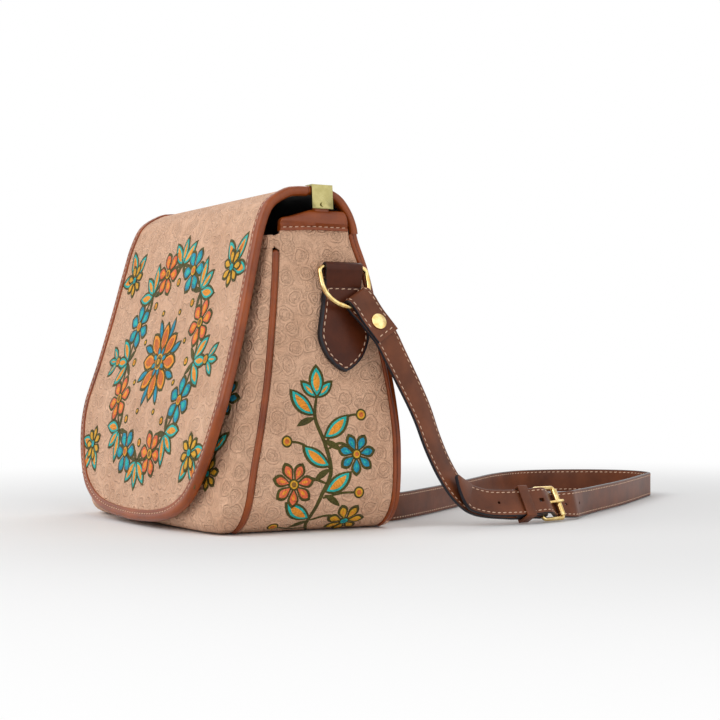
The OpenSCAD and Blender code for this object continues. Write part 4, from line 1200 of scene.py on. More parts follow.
FAR_STATIONS = (
    [(-x, y, z, -a, *rest) for x, y, z, a, *rest in RIGHT_FOLD]
    + [(-139.57, 48.99, 131.7, 0.158, 0.835, 0.527, 1), (-138.31, 54.8, 124.69, 0.128, 0.813, 0.569, 1),
       (-134.84, 60.68, 116.05, 0.154, 0.772, 0.617, 1), (-128.6, 66.81, 105.8, 0.312, 0.685, 0.659, 1),
       (-120.15, 73.01, 93.92, 0.522, 0.529, 0.669, 1), (-109.47, 77, 80.86, 0.631, 0.368, 0.683, 1),
       (-95.53, 77.5, 65.62, 0.604, 0.229, 0.764, 1), (-79.36, 75.79, 49.2, 0.492, 0.094, 0.865, 1),
       (-64.08, 73.43, 35.13, 0.362, 0, 0.932, 1), (-52.11, 70.37, 24.44, 0.234, -0.027, 0.972, 1),
       (-41.04, 66.65, 16.1, 0.096, -0.013, 0.995, 1), (-26.7, 63.98, 10.5, 0, 0, 1, 1),
       (-4.99, 63.25, 10.53, -0.026, 0, 1, 1), (19.98, 63.56, 10.52, -0.013, 0, 1, 1)]
    + on_floor((40.05, 63.98), (51.27, 63.9), (57.6, 63.91), (62.74, 64.86), (68.08, 66.85), (72.24, 69.78),
               (74.76, 74.1), (76.79, 78.69), (77.18, 84.68), (72.09, 95.92), (58.74, 115.32),
               (39.9, 139.96), (20.02, 165), (0.1, 189.18), (-20.87, 213.76), (-41.38, 237.6),
               (-61.95, 260.58), (-82.08, 282.82), (-98.79, 303.6), (-111.3, 322.34), (-120.4, 339.62),
               (-125.49, 356.4), (-125.84, 373.35), (-122.18, 389.81), (-116.14, 404.8), (-107.84, 418.81),
               (-97.16, 431.36), (-85.44, 440), (-72.44, 443.83), (-58.39, 443.75), (-45.39, 440),
               (-35.55, 432.99), (-26.75, 422.32), (-14.69, 407), (3.41, 385.16), (24.77, 358.68),
               (45.39, 332.2))
    + [(64.56, 305.9, 10.51, 0.011, 0.001, 1, 1), (82.99, 279.6, 10.53, 0.022, 0.002, 1, 1),
       (98.79, 257.4, 10.5, 0, 0, 1, 1), (111.56, 240.61, 10.67, -0.09, -0.009, 0.996, 1),
       (121.7, 227.92, 10.89, -0.217, -0.022, 0.976, 1), (128.54, 219.45, 11.06, -0.309, -0.031, 0.951, 1)]
    + stations(TILTED, (129.74, 207.51, 11.06), (130.34, 200.53, 11.01), (132.12, 196.19, 11.78),
                       (136.02, 191.05, 13.72), (139.38, 187.37, 15.44), (141.2, 183.03, 16.24),
                       (141.73, 178.56, 16.29), (141.51, 167.83, 15.54), (142.59, 154.22, 15.38))
    + [(141.15, 133.71, 16.08, -0.478, 0.128, 0.869, 1), (141.99, 117.8, 19.96, -0.447, 0.289, 0.846, 1),
       (142.71, 113.69, 22.79, -0.436, 0.335, 0.835, 0.97),
       (143.67, 109.84, 26.56, -0.424, 0.379, 0.823, 0.8), (144.54, 105.67, 31.41, -0.41, 0.424, 0.808, 0.5),
       (145.17, 101.6, 37.06, -0.396, 0.466, 0.791, 0.14)]
)


def strap_line(through, steps=3):
    """A strap's centre, way across, way out of its face and share of its width, all along its length."""
    s = smooth_line(through, steps)
    c, w, share = s[:, :3], s[:, 3:6], np.clip(s[:, 6], 0.1, 1)
    t = unit(np.gradient(c, axis=0))
    w = unit(w - (w * t).sum(1)[:, None] * t)
    return c, w, np.cross(t, w), share


def cut_by(obj, tool):
    """Cuts a tool's shape out of a piece and deletes the tool."""
    apply_modifier(obj, "BOOLEAN", object=tool, operation="DIFFERENCE", solver="EXACT")
    bpy.data.objects.remove(tool)


def cut_away(obj, places):
    """Cuts a punched hole whose eight corners are given out of a piece."""
    deselect()
    bpy.ops.mesh.primitive_cube_add(size=1)
    tool = bpy.context.object
    tool.data.vertices.foreach_set("co", (np.asarray(places, float) * MM).astype(np.float32).ravel())
    edit(tool, (bpy.ops.mesh.normals_make_consistent, {"inside": False}))
    cut_by(obj, tool)


def box_corners(x0, x1, half, z0, z1):
    """A box's corners, in the order of Blender's cube."""
    return [(x, y, z) for x in (x0, x1) for y in (-half, half) for z in (z0, z1)]


def punched(obj, at, out):
    """Punches a round adjustment hole through a strap."""
    deselect()
    bpy.ops.mesh.primitive_cylinder_add(vertices=20, radius=HOLE_R * MM, depth=4 * STRAP_T * MM,
                                        location=Vector(at) * MM,
                                        rotation=Vector(out).to_track_quat("Z", "Y").to_euler())
    cut_by(obj, bpy.context.object)


def make_strap_piece(name, through, seam, cad, slots, holes=()):
    """One length of the strap; its stitches stop so many places from each end, as seam says."""
    c, w, n, share = strap_line(through)
    obj = swept(name, c, w * share[:, None], n, soft_box(STRAP_W, STRAP_T, 0.8))
    paint(obj, M["strap"], M["edge"])
    # Edge paint covers both long edges, the pointed end and the folded end
    for f, mid, way in zip(obj.data.polygons, *(read(obj.data.polygons, v) for v in ("center", "normal"))):
        i = np.argmin(((c - mid / MM) ** 2).sum(1))
        if abs(way @ w[i]) > 0.6 or ((share[i] < 0.99 or i < 2) and abs(way @ n[i]) < 0.5):
            f.material_index = 1
    for slot in slots:
        cut_away(obj, at_buckle(slot))
    for i in np.searchsorted(lengths(c), holes):
        punched(obj, c[i], n[i])
    parts = [finish_edges(obj)]
    keep = slice(seam[0], len(c) - seam[1])
    for tag, side in (("upper", 1), ("lower", -1)):
        for face, out in (("face", 1), ("back", -1)):
            line = c + w * (side * (STRAP_W / 2 - STRAP_SEAM) * share)[:, None] + n * out * STITCH_UP
            parts.append(sewn_along("_".join((name, "stitches", tag, face)), line[keep], (n * out)[keep]))
    # A row across the folded end, on the face that looks out
    k = int(np.searchsorted(lengths(c), STRAP_SEAM))
    out = n[k] * math.copysign(1, n[k][0] * c[k][0])
    line = c[k] + w[k] * np.linspace(2.6 - STRAP_W / 2, STRAP_W / 2 - 2.6, 12)[:, None]
    parts.append(sewn_along(name + "_stitches_end", line + out * STITCH_UP, out))
    for o in parts:
        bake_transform(o)
    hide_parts(cad)


def make_strap():
    # The strap passes through a ring
    along, rise = math.cos(PRONG_RISE), math.sin(PRONG_RISE)
    pin_hole = [(x * along - z * rise, y, x * rise + z * along) for x, y, z in box_corners(*PIN_HOLE)]
    # The round holes are spaced from the middle of the one in use
    c = strap_line(FAR_STATIONS)[0]
    pin_at = lengths(c)[np.argmin(((c - at_buckle([9.6, 0, 1.8])) ** 2).sum(1))]
    make_strap_piece("strap_buckle_length", NEAR_STATIONS,
                     (3, 3), "strap_buckle_piece", [box_corners(*FOLD_SLOT)])
    make_strap_piece("strap_long_length", FAR_STATIONS,
                     (3, 9), "strap_tongue_piece", [pin_hole, box_corners(*SWING_HOLE)],
                     [pin_at + HOLE_PITCH * k for k in (-2, -1, 2)])


def make_buckle():
    """The buckle's wire frame, the sleeve that rolls on its far bar, and the pin hinged on its near bar."""
    half, wire, corner = STRAP_W / 2 + 2.3, 1.5, 2.2
    bar, side = half - corner, BUCKLE_LEN - 2 * corner
    steps = [(bar, 90, corner), (side, 90, corner), (2 * bar, 90, corner), (side, 90, corner), (bar, 0, 0)]
    place(paint(settled(bent_wire("buckle_wire_frame", wire, (0, 0, 1), steps), at_buckle), M["gilt"]),
          "bag", "brass", "buckle_frame")
    # Sleeve: a tube with its wall turned in and its ends eased
    sleeve = started("buckle_sleeve", bpy.ops.mesh.primitive_cylinder_add, vertices=40, radius=2.5 * MM,
                     depth=(STRAP_W + 0.6) * MM, end_fill_type="NOTHING", location=(BUCKLE_LEN * MM, 0, 0),
                     rotation=(math.pi / 2, 0, 0))
    bpy.ops.object.mode_set(mode="OBJECT")
    freeze()
    apply_modifier(sleeve, "SOLIDIFY", thickness=0.92 * MM, offset=-1.0)
    bevelled(sleeve, 0.22, 3)
    place(paint(settled(sleeve, at_buckle), M["gilt"]), "roller", "brass", "buckle_roller")
    # Pin: a flat eye round the near bar, then a tapering shank that rests on the sleeve
    pin_r = 0.55
    eye = started("buckle_pin_eye", bpy.ops.mesh.primitive_torus_add, major_radius=2.1 * MM,
                  minor_radius=pin_r * MM, major_segments=36, minor_segments=12, rotation=(math.pi / 2, 0, 0))
    bpy.ops.transform.resize(value=(1, 2, 1), center_override=(0, 0, 0))
    bpy.ops.object.mode_set(mode="OBJECT")
    shank = started("buckle_pin", bpy.ops.mesh.primitive_circle_add, vertices=16, radius=pin_r * MM,
                    fill_type="NGON", location=(2.0 * MM, 0, 0), rotation=(0, math.pi / 2, 0))
    for step, grow in ((1.2, 1.5), (1.2, 1.33), (16.4, 1.0), (1.2, 0.92), (0.7, 0.75), (0.3, 0.5)):
        bpy.ops.mesh.extrude_region_move(TRANSFORM_OT_translate={"value": (step * MM, 0, 0)})
        bpy.ops.transform.resize(value=(1, grow, grow))
    bpy.ops.mesh.select_all(action="SELECT")
    bpy.ops.object.mode_set(mode="OBJECT")
    pin = joined("buckle_pin", [shank, eye])
    freeze()
    pin.data.transform(Matrix.Rotation(-PRONG_RISE, 4, "Y"))
    place(paint(settled(pin, at_buckle), M["gilt"]), "prong", "brass", "buckle_prong")


def make_keeper():
    obj = dressed("keeper_loop", "strap_keeper", M["strap"], bevel=0.5, segments=3)
    place(obj, "bag", "strap_leather", "keeper_loop")


# The right rivet's middle, the way out of the strap's face there and the way across the strap
RIVET_AT = np.array([138.046, 38.4745, 146.648])
RIVET_OUT = np.array([0.937475, 0.0, 0.348053])
RIVET_SIDE = np.array([-0.18444, 0.848048, 0.496786])


def rivet_place(p):
    """Places in the right rivet's own frame, z out of the strap's face."""
    return RIVET_AT + p @ np.array([RIVET_SIDE, np.cross(RIVET_OUT, RIVET_SIDE), RIVET_OUT])


def make_rivets():
    """Rivets through the fold of the strap at each ring: a domed head, a post and a flat back."""
    face = STRAP_T + 0.25
    dome = ((0.7, 0.35), (1.5, 0.3))
    parts = []
    for name, r, z0, z1, steps in (("right_strap_rivet_head", 5.12, face, face + 0.5, dome),
                                   ("post", 1.6, -face, face, ()), ("back", 4.16, -face - 0.5, -face, ())):
        obj = started(name, bpy.ops.mesh.primitive_cylinder_add, vertices=36, radius=r * MM,
                      depth=(z1 - z0) * MM, location=(0, 0, (z0 + z1) / 2 * MM))
        if steps:
            # The top face is stepped in and up twice, which gives the dome
            bpy.ops.object.mode_set(mode="OBJECT")
            for f in obj.data.polygons:
                f.select = f.normal.z > 0.9
            bpy.ops.object.mode_set(mode="EDIT")
            bpy.ops.mesh.select_mode(type="FACE")
            for inset, rise in steps:
                bpy.ops.mesh.inset(thickness=inset * MM, depth=rise * MM)
        bpy.ops.object.mode_set(mode="OBJECT")
        freeze()
        bevelled(obj, 0.18, 3)
        parts.append(obj)
    obj = paint(settled(joined("right_strap_rivet_head", parts), rivet_place), M["gilt"])
    place_both(obj, "brass", "strap_rivet", ("right_ring", "left_ring"))


# Printed pattern
# The ink's film stands this far (mm) off the leather and each layer this far off the last: none flickers
INK_LIFT, INK_STEP = 0.14, 0.07


def flap_surface(p):
    """Places on the flap's leather, from (x, height, lift)."""
    return FLAP.at(p[..., 0], FLAP.s_at(p[..., 1]), p[..., 2])


def gusset_surface(p):
    """Places on the right gusset's leather, from (y, height along it, lift)."""
    path, out = body_side(MOUTH_Z - 0.3, 0)
    s = lengths(path)
    z = np.interp(p[..., 1], s, path[:, 1])
    share = np.clip((p[..., 0] - gusset_front_y(z)) / (gusset_back_y(z) - gusset_front_y(z)), 0, 1)
    x = np.interp(p[..., 1], s, path[:, 0]) + p[..., 2] * np.interp(p[..., 1], s, out[:, 0])
    return stacked(x - gusset_dip(share, z), p[..., 0],
                   z + p[..., 2] * np.interp(p[..., 1], s, out[:, 1]))


def front_surface(p):
    """Places on the front panel's leather, from (x, height, lift)."""
    share = np.clip(np.abs(p[..., 0]) / body_half(p[..., 1]), 0, 1)
    t = np.sign(p[..., 0]) * 2 / math.pi * np.arcsin(share ** (FRONT_SQUARE / 2))
    out = share ** 8
    way = stacked(np.sign(p[..., 0]) * out, out - 1.3, 0 * out)
    return front_place(t, p[..., 1], 0) + p[..., 2:] * way


class Print:
    """Collects printed shapes by ink, then lays each ink's film on a surface."""

    def __init__(self):
        self.grids = {}

    def add(self, ink, grid, layer):
        self.grids.setdefault(ink, []).append((grid, layer))

    def leaf(self, ink, at, angle, length, width, layer=0, bend=0.0, tip=0.5):
        """A petal or leaf from its root at, pointing along angle (degrees), widest at share tip."""
        t = np.linspace(0, 1, 10)
        a = np.radians(angle + bend * t)
        step = stacked(np.cos(a), np.sin(a)) * length / 9
        spine = np.asarray(at) + np.vstack([[0, 0], np.cumsum(step[:-1], axis=0)])
        power = math.log(0.5) / math.log(tip)
        w = width / 2 * np.sin(math.pi * t ** power) ** 0.8 + 0.02
        across = stacked(-np.sin(a), np.cos(a))
        self.strip(ink, spine, across, w, layer)

    def strip(self, ink, spine, across, half, layer):
        """A film along a spine with its rim turned down into the leather."""
        u, up = np.array([(-1, 0), (-0.86, 1), (0, 1), (0.86, 1), (1, 0)]).T
        at = spine[:, None] + across[:, None] * (u * half[:, None])[..., None]
        self.add(ink, stacked(at[..., 0], at[..., 1], up), layer)

    def stem(self, ink, points, width, taper=0.35):
        """A smooth stem through the points, whose ends narrow to the share taper."""
        p = smooth_line(points, 8)
        d = unit(np.gradient(p, axis=0))
        t = np.linspace(-1, 1, len(p))
        half = width / 2 * (1 - (1 - taper) * np.abs(t) ** 6)
        self.strip(ink, p, stacked(-d[:, 1], d[:, 0]), half, 0)

    def dot(self, ink, at, r, layer=0):
        """A round spot with its rim turned down into the leather."""
        a = np.linspace(0, 2 * math.pi, 25)
        share, up = np.array([(1, 0), (0.93, 1), (0.5, 1), (0.02, 1)]).T[..., None]
        self.add(ink, stacked(at[0] + np.cos(a) * r * share, at[1] + np.sin(a) * r * share, up), layer)

    def inked(self, inks, at, angle, length, width, layer=1, bend=0.0, tip=0.5):
        """A leaf drawn as a dark outline with lighter shapes inside it."""
        way = ray(angle)
        for k, ink in enumerate(inks):
            inset = size("ink_line") * k * (1 + 0.08 * k)
            if length > 3 * inset and width > 2.4 * inset:
                self.leaf(ink, np.asarray(at) + way * inset * 1.3, angle + bend * 0.07 * k,
                          length - 2.9 * inset, width - 2 * inset, layer + k, bend, tip)

    def berry(self, inks, at, r, layer=1):
        """A spot drawn as a dark outline with lighter spots inside it."""
        for k, ink in enumerate(inks):
            self.dot(ink, at, r - size("ink_line") * 0.8 * k, layer + k)

    def bloom(self, inks, at, r, petals, turn=0, layer=1):
        """A round flower: outlined petals about an outlined centre."""
        outer, inner, centre, eye = inks
        for i in range(petals):
            a = turn + 360 * i / petals
            root = np.asarray(at) + 0.1 * r * ray(a)
            self.inked(("olive", outer, inner), root, a, 0.95 * r, 4.1 * r / petals, layer, tip=0.62)
        self.berry(("olive", centre, eye), at, 0.27 * r, layer + 4)

    def lay(self, name, surface, flat, side=1):
        """Makes one film of each ink; surface gives its place on the bag and flat on the hide."""
        made = []
        for ink, grids in self.grids.items():
            verts, faces, count = [], [], 0
            for grid, layer in grids:
                rows, cols = grid.shape[:2]
                p = grid.copy()
                p[..., 2] = np.where(p[..., 2] > 0.5, INK_LIFT + INK_STEP * layer, -0.1)
                q = surface(p).reshape(-1, 3) * MM * [side, 1, 1]
                verts.append(q)
                i = (np.arange(rows - 1)[:, None] * cols + np.arange(cols - 1)).ravel() + count
                faces += stacked(i, i + 1, i + cols + 1, i + cols).tolist()
                count += rows * cols
            obj = mesh_object(name + "_" + ink, verts, faces)
            flattened(obj, flat)
            made.append(finish_edges(paint(obj, M[ink]), 60))
        return made


def face_out(obj, way):
    """Turns faces that look into the bag round, so that a film's front is outside."""
    m = bmesh.new()
    m.from_mesh(obj.data)
    bmesh.ops.reverse_faces(m, faces=[f for f in m.faces if f.normal @ Vector(way) < 0])
    m.to_mesh(obj.data)
    m.free()


LEAF_INKS = ("olive", "turquoise", "orange", "burnt")
BUD_INKS = ("olive", "ochre", "burnt")
WARM = ("coral", "orange", "ochre", "bronze")
GOLD = ("ochre", "orange", "turquoise", "teal")
COOL = ("teal", "turquoise", "ochre", "burnt")
VINE_MID = np.array([0.0, 120.0])
VINE_R = np.array([62.0, 73.0])


def on_vine(angle):
    """A place on the garland's oval, with the angle that points away from the oval there."""
    way = ray(angle)
    return VINE_MID + way * VINE_R, math.degrees(math.atan2(way[1] * VINE_R[0], way[0] * VINE_R[1]))


def make_flap_print():
    """An oval garland of blossoms and paired leaves round a rosette, with a spray in each corner."""
    p = Print()
    vine = VINE_MID + np.array([ray(a) for a in np.arange(0, 361, 7.5)]) * VINE_R
    p.stem("olive", vine, 3.0, taper=1)
    for i in range(8):
        at, out = on_vine(45 * i + 22.5)
        p.bloom((WARM, COOL)[i % 2], at, 18, 6, out, 2)
        # Leaf pairs and a bud between the blossoms
        at, out = on_vine(45 * i)
        for turn in (-52, 52):
            p.inked(LEAF_INKS, at, out + turn, 26, 12.5, 1, bend=-turn / 4)
            p.leaf("olive", at, out + 180 - turn, 14, 5, 0, bend=turn / 3)
        p.inked(LEAF_INKS, at, out, 23, 11.5, 2)
        p.berry(BUD_INKS, at - 13 * ray(out), 3.6, 1)
    # Rosette
    for i in range(8):
        a = 45 * i + 22.5
        p.inked(("olive", "teal"), VINE_MID + 17 * ray(a), a, 19, 8, 0, bend=14)
        p.berry(BUD_INKS[:2], VINE_MID + 40 * ray(a), 2.6, 1)
    p.bloom(("orange", "burnt", "ochre", "bronze"), VINE_MID, 29, 8, 0, 2)
    p.bloom(COOL, VINE_MID, 13, 8, 22.5, 6)
    for side in (-1, 1):
        for x, z, up in ((90, 186, 122), (93, 56, 236)):
            way = up if side < 0 else 180 - up
            at = np.array([side * x, z])
            for k in (-58, 58):
                p.inked(LEAF_INKS, at, way + k, 25, 13, 0, bend=k / 4)
            p.inked(LEAF_INKS, at, way, 29, 14, 0)
            p.bloom(GOLD, at, 14, 7, way, 4)
        for turn in (-40, 0, 40):
            p.inked(LEAF_INKS[:3], (side * 84, 121), 90 - side * (90 - turn), 19, 8.5, 0)
        p.berry(BUD_INKS, (side * 83, 121), 4.4, 4)
    for obj in p.lay("flap_print", flap_surface, flap_flat):
        face_out(obj, (0, -1, 0.15))
        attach(obj, "flap")


def make_front_print():
    """A blossom, a smaller one and leaves up each side of the front panel, which show beside the flap."""
    p = Print()
    for side in (-1, 1):
        p.stem("olive", [(side * 104, 34), (side * 112, 62), (side * 106, 90), (side * 96, 120)], 2.4)
        for z, turn in ((56, 40), (74, -30), (112, 20)):
            p.inked(LEAF_INKS, (side * (108 if z < 100 else 98), z), 90 - side * turn, 20, 9, 0)
        p.bloom(COOL, (side * 108, 94), 14, 7, 0, 2)
        p.bloom(GOLD, (side * 106, 42), 12, 7, 10, 2)
    for obj in p.lay("front_print", front_surface, front_flat):
        face_out(obj, (0, -1, 0))
        place(obj, "bag", "panel_leather")


def make_gusset_print():
    """A wavy stem with leaves, three blossoms and berries, which ends in a bud under the side tab."""
    p = Print()
    p.stem("olive", [(-2, 4), (-9, 20), (-3, 40), (6, 58), (2, 78), (-5, 96), (-3, 112)], 3.2)
    for y, z, a, flip in ((-8, 24, 158, 1), (0, 44, 22, -1), (6, 62, 156, 1), (1, 82, 28, -1),
                          (-5, 98, 146, 1)):
        p.inked(LEAF_INKS, (y, z), a, 27, 13, 1, bend=-flip * 22)
        p.leaf("olive", (y, z - 2), a + flip * 46, 16, 5, 0, bend=flip * 20)
    for a, *leaf in ((90, 24, 13, 2), (44, 18, 9, 1), (136, 18, 9, 1)):
        p.inked(LEAF_INKS, (-3, 110), a, *leaf)
    for inks, r, root, at in ((WARM, 16, (2, 50), (-24, 50)), (COOL, 15, (4, 74), (27, 70)),
                              (GOLD, 15, (-8, 22), (21, 20))):
        p.stem("olive", [root, ((root[0] + at[0]) / 2, root[1] + 4), at], 2.2)
        p.bloom(inks, at, r, 7, 10, 3)
    for root, bend, at in (((6, 60), (-14, 77), (-28, 80)), ((2, 78), (20, 96), (32, 98)),
                           ((-6, 12), (-20, 12), (-34, 16)), ((-1, 40), (14, 43), (28, 43))):
        p.stem("olive", [root, bend, at], 1.8, taper=1)
        p.berry(BUD_INKS, at, 4.4, 1)
    for side, tag in ((1, "right"), (-1, "left")):
        for obj in p.lay(tag + "_gusset_print", gusset_surface, gusset_flat, side):
            face_out(obj, (side, 0, -0.2))
            place(obj, "bag", "panel_leather")


# Stage
# The camera solved from the photograph: place (m), turn about the upright, lens (mm) and upward shift
CAMERA_AT, CAMERA_TURN, CAMERA_LENS, CAMERA_SHIFT = (
    (1.11867, -0.5413, 0.1065), math.atan2(0.866, 0.5), 80.54, 20 / 720)
LAMPS_AIM = Vector((0, 0, 0.12))


def ray_of(t, *kinds):
    """One where the ray is of one of the kinds, or else zero."""
    path = node(t, "ShaderNodeLightPath").outputs
    seen = path[kinds[0]]
    for kind in kinds[1:]:
        seen = node(t, "ShaderNodeMath", {"operation": "MAXIMUM"}, {0: seen, 1: path[kind]}).outputs[0]
    return seen


def make_floor():
    deselect()
    bpy.ops.mesh.primitive_plane_add(size=12, location=(0, 0, -0.0005))
    floor = bpy.context.object
    floor.name = "floor"
    m = bpy.data.materials.new("studio_floor")
    t = cleared_tree(m)
    matt = node(t, "ShaderNodeBsdfDiffuse", {"Color": (0.9, 0.9, 0.9, 1)})
    # Far from the bag the camera sees the floor as plain white, so that it meets the background
    white = node(t, "ShaderNodeEmission", {"Color": (1, 1, 1, 1), "Strength": 1.0})
    where = node(t, "ShaderNodeTexCoord").outputs["Object"]
    far = node(t, "ShaderNodeVectorMath", {"operation": "DISTANCE", 1: (0.05, 0.2, 0)}, {0: where})
    away = node(t, "ShaderNodeMapRange", {"interpolation_type": "SMOOTHSTEP", "From Min": 0.3,
                                          "From Max": 0.9}, {"Value": far.outputs["Value"]})
    share = node(t, "ShaderNodeMath", {"operation": "MULTIPLY"},
                 {0: away.outputs[0], 1: ray_of(t, "Is Camera Ray", "Is Glossy Ray")})
    both = node(t, "ShaderNodeMixShader", {}, {0: share.outputs[0], 1: matt.outputs[0], 2: white.outputs[0]})
    node(t, "ShaderNodeOutputMaterial", {}, {0: both.outputs[0]})
    paint(floor, m)


def make_background(scene):
    scene.world = bpy.data.worlds.new("studio")
    t = cleared_tree(scene.world)
    sky, white = (node(t, "ShaderNodeBackground", {"Color": (1, 1, 1, 1), "Strength": power})
                  for power in (0.42, 1.0))
    seen = ray_of(t, "Is Camera Ray", "Is Glossy Ray", "Is Transmission Ray")
    both = node(t, "ShaderNodeMixShader", {}, {0: seen, 1: sky.outputs[0], 2: white.outputs[0]})
    node(t, "ShaderNodeOutputWorld", {}, {0: both.outputs[0]})


def make_stage(c):
    scene = bpy.context.scene
    scene.view_settings.view_transform = "Standard"
    make_floor()
    make_background(scene)
    for name, at, width, watts in (("key", (0.2, -1.9, 1.6), 2.2, c.key_power),
                                   ("fill", (2.2, 0.5, 1.1), 2.6, c.fill_power),
                                   ("back", (-1.3, 1.6, 1.6), 1.8, c.back_power)):
        lamp = bpy.data.lights.new(name, "AREA")
        lamp.shape, lamp.size, lamp.energy = "SQUARE", width, watts
        obj = bpy.data.objects.new(name, lamp)
        scene.collection.objects.link(obj)
        obj.location = at
        obj.rotation_euler = (LAMPS_AIM - Vector(at)).to_track_quat("-Z", "Y").to_euler()
    cam = bpy.data.cameras.new("camera")
    cam.lens, cam.sensor_width, cam.shift_y = CAMERA_LENS, 36, CAMERA_SHIFT
    obj = bpy.data.objects.new("camera", cam)
    scene.collection.objects.link(obj)
    obj.location = CAMERA_AT
    obj.rotation_euler = (math.pi / 2, 0, CAMERA_TURN)
    scene.camera = obj


# Settings, operators and panel
def shade(name, description, code):
    return bpy.props.FloatVectorProperty(name=name, description=description, default=colour(code), size=4,
                                         min=0.0, max=1.0, subtype="COLOR")


def length(name, description, mm):
    return bpy.props.FloatProperty(name=name, description=description, default=mm * MM, min=0.0,
                                   precision=5, subtype="DISTANCE", unit="LENGTH")


def power(name, description, watts):
    return bpy.props.FloatProperty(name=name, description=description, default=watts, min=0.0,
                                   subtype="POWER", unit="POWER")


class HANDBAG_PG_colours(bpy.types.PropertyGroup):
    tan_low: shade("Tan, darker", "Darker colour of the embossed leather", "#D4A687")
    tan_high: shade("Tan, lighter", "Lighter colour of the embossed leather", "#E6BA9B")
    binding_low: shade("Binding, darker", "Darker colour of the bindings and cords", "#702E08")
    binding_high: shade("Binding, lighter", "Lighter colour of the bindings and cords", "#9E4C16")
    strap_low: shade("Strap, darker", "Darker colour of the strap", "#532A16")
    strap_high: shade("Strap, lighter", "Lighter colour of the strap", "#7C4428")
    tab_low: shade("Tab, darker", "Darker colour of the side tabs", "#3A1506")
    tab_high: shade("Tab, lighter", "Lighter colour of the side tabs", "#58260E")
    edge_low: shade("Edge paint, darker", "Darker colour of the painted cut edges", "#17161A")
    edge_high: shade("Edge paint, lighter", "Lighter colour of the painted cut edges", "#242228")
    thread_low: shade("Thread, darker", "Darker colour of the stitching", "#CFA182")
    thread_high: shade("Thread, lighter", "Lighter colour of the stitching", "#EBCDB2")
    brass_low: shade("Brass, darker", "Darker colour of the edge clips", "#968D5D")
    brass_high: shade("Brass, lighter", "Lighter colour of the edge clips", "#A69D6C")
    gilt_low: shade("Gilt, darker", "Darker colour of the rings, rivets and buckle", "#C9A868")
    gilt_high: shade("Gilt, lighter", "Lighter colour of the rings, rivets and buckle", "#E6CF96")
    lining_low: shade("Lining, darker", "Darker colour of the cloth lining", "#0A0A0F")
    lining_high: shade("Lining, lighter", "Lighter colour of the cloth lining", "#1A1A22")


class HANDBAG_PG_sizes(bpy.types.PropertyGroup):
    stitch_pitch: length("Stitch pitch", "Distance from one stitch to the next", 4.6)
    stitch_length: length("Stitch length", "Length of the thread that shows in one stitch", 3.2)
    thread_width: length("Thread width", "Width of the sewing thread", 0.85)
    curl_spacing: length("Curl spacing", "Distance between the embossed rings", 14.0)
    curl_depth: length("Curl depth", "Depth of the embossed rings", 2.0)
    ink_line: length("Ink outline", "Width of the printed pattern's dark outlines", 1.5)


class HANDBAG_PG_lamps(bpy.types.PropertyGroup):
    key_power: power("Key lamp", "Power of the lamp in front", 38.0)
    fill_power: power("Fill lamp", "Power of the lamp beside the bag", 17.0)
    back_power: power("Back lamp", "Power of the lamp behind", 14.0)


class HANDBAG_OT_finishes(bpy.types.Operator):
    """Make the leather, metal, thread and cloth finishes"""
    bl_idname = "handbag.finishes"
    bl_label = "Finishes"

    def execute(self, context):
        make_finishes(context.scene.handbag_colours)
        return {"FINISHED"}


class HANDBAG_OT_flap(bpy.types.Operator):
    """Make the embossed flap with its bound and stitched edge"""
    bl_idname = "handbag.flap"
    bl_label = "Flap"

    def execute(self, context):
        make_flap()
        make_flap_binding()
        return {"FINISHED"}


class HANDBAG_OT_back(bpy.types.Operator):
    """Make the back panel and the bound edges under the fold"""
    bl_idname = "handbag.back"
    bl_label = "Back panel"

    def execute(self, context):
        make_back()
        make_arch_bindings()
        return {"FINISHED"}


class HANDBAG_OT_front(bpy.types.Operator):
    """Make the swollen front panel and its bound mouth"""
    bl_idname = "handbag.front"
    bl_label = "Front panel"

    def execute(self, context):
        make_front()
        return {"FINISHED"}


class HANDBAG_OT_gussets(bpy.types.Operator):
    """Make the side gussets, their rolled tops and the base"""
    bl_idname = "handbag.gussets"
    bl_label = "Gussets"

    def execute(self, context):
        make_gussets()
        make_gusset_bindings()
        make_base()
        return {"FINISHED"}


class HANDBAG_OT_cords(bpy.types.Operator):
    """Make the piping cords along the front and back seams"""
    bl_idname = "handbag.cords"
    bl_label = "Seam cords"

    def execute(self, context):
        make_cords()
        return {"FINISHED"}


class HANDBAG_OT_linings(bpy.types.Operator):
    """Make the cloth lining and its pocket"""
    bl_idname = "handbag.linings"
    bl_label = "Linings"

    def execute(self, context):
        make_linings()
        return {"FINISHED"}


class HANDBAG_OT_tabs(bpy.types.Operator):
    """Make the stitched side tabs that hold the rings"""
    bl_idname = "handbag.tabs"
    bl_label = "Side tabs"

    def execute(self, context):
        make_tabs()
        return {"FINISHED"}


class HANDBAG_OT_fittings(bpy.types.Operator):
    """Make the rings, the rivets, the edge clips and the snap"""
    bl_idname = "handbag.fittings"
    bl_label = "Metal fittings"

    def execute(self, context):
        make_clips()
        make_rings()
        make_rivets()
        return {"FINISHED"}


class HANDBAG_OT_strap(bpy.types.Operator):
    """Make both lengths of the shoulder strap and its keeper"""
    bl_idname = "handbag.strap"
    bl_label = "Strap"

    def execute(self, context):
        make_strap()
        make_keeper()
        return {"FINISHED"}


class HANDBAG_OT_buckle(bpy.types.Operator):
    """Make the strap's buckle with its sleeve and pin"""
    bl_idname = "handbag.buckle"
    bl_label = "Buckle"

    def execute(self, context):
        make_buckle()
        return {"FINISHED"}


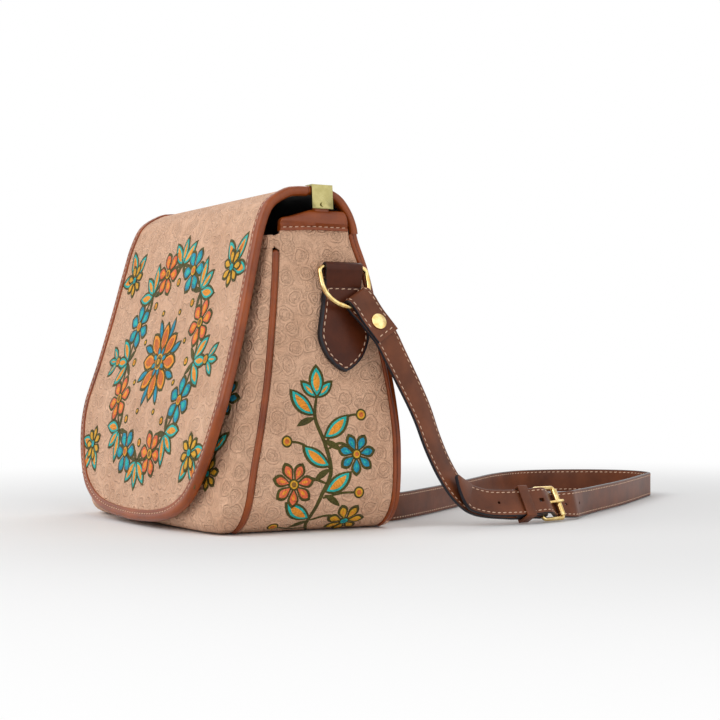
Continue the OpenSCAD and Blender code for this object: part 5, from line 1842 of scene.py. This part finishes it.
class HANDBAG_OT_prints(bpy.types.Operator):
    """Print the flower pattern on the flap, the front and the gussets"""
    bl_idname = "handbag.prints"
    bl_label = "Printed pattern"

    def execute(self, context):
        make_flap_print()
        make_front_print()
        make_gusset_print()
        return {"FINISHED"}


class HANDBAG_OT_stage(bpy.types.Operator):
    """Set up the floor, the lamps, the background and the camera"""
    bl_idname = "handbag.stage"
    bl_label = "Stage"

    def execute(self, context):
        make_stage(context.scene.handbag_lamps)
        return {"FINISHED"}


STEPS = [HANDBAG_OT_finishes, HANDBAG_OT_flap, HANDBAG_OT_back, HANDBAG_OT_front, HANDBAG_OT_gussets,
         HANDBAG_OT_cords, HANDBAG_OT_linings, HANDBAG_OT_tabs, HANDBAG_OT_fittings, HANDBAG_OT_strap,
         HANDBAG_OT_buckle, HANDBAG_OT_prints, HANDBAG_OT_stage]
GROUPS = {"handbag_colours": HANDBAG_PG_colours, "handbag_sizes": HANDBAG_PG_sizes,
          "handbag_lamps": HANDBAG_PG_lamps}


class HANDBAG_PT_panel(bpy.types.Panel):
    """Sidebar panel with the handbag's settings and steps"""
    bl_label = "Saddle handbag"
    bl_idname = "HANDBAG_PT_panel"
    bl_space_type = "VIEW_3D"
    bl_region_type = "UI"
    bl_category = "Handbag"

    def draw(self, context):
        for name, kind in GROUPS.items():
            for key in kind.__annotations__:
                self.layout.prop(getattr(context.scene, name), key)
        for step in STEPS:
            self.layout.operator(step.bl_idname)


def register():
    for kind in [*GROUPS.values(), *STEPS, HANDBAG_PT_panel]:
        bpy.utils.register_class(kind)
    for name, kind in GROUPS.items():
        setattr(bpy.types.Scene, name, bpy.props.PointerProperty(type=kind))


def unregister():
    for name in GROUPS:
        delattr(bpy.types.Scene, name)
    for kind in [HANDBAG_PT_panel, *reversed(STEPS), *GROUPS.values()]:
        bpy.utils.unregister_class(kind)


def main():
    register()
    for step in STEPS:
        if getattr(bpy.ops.handbag, step.bl_idname.split(".")[1])() != {"FINISHED"}:
            raise RuntimeError(step.bl_label + " wasn't made")


if __name__ == "__main__":
    main()
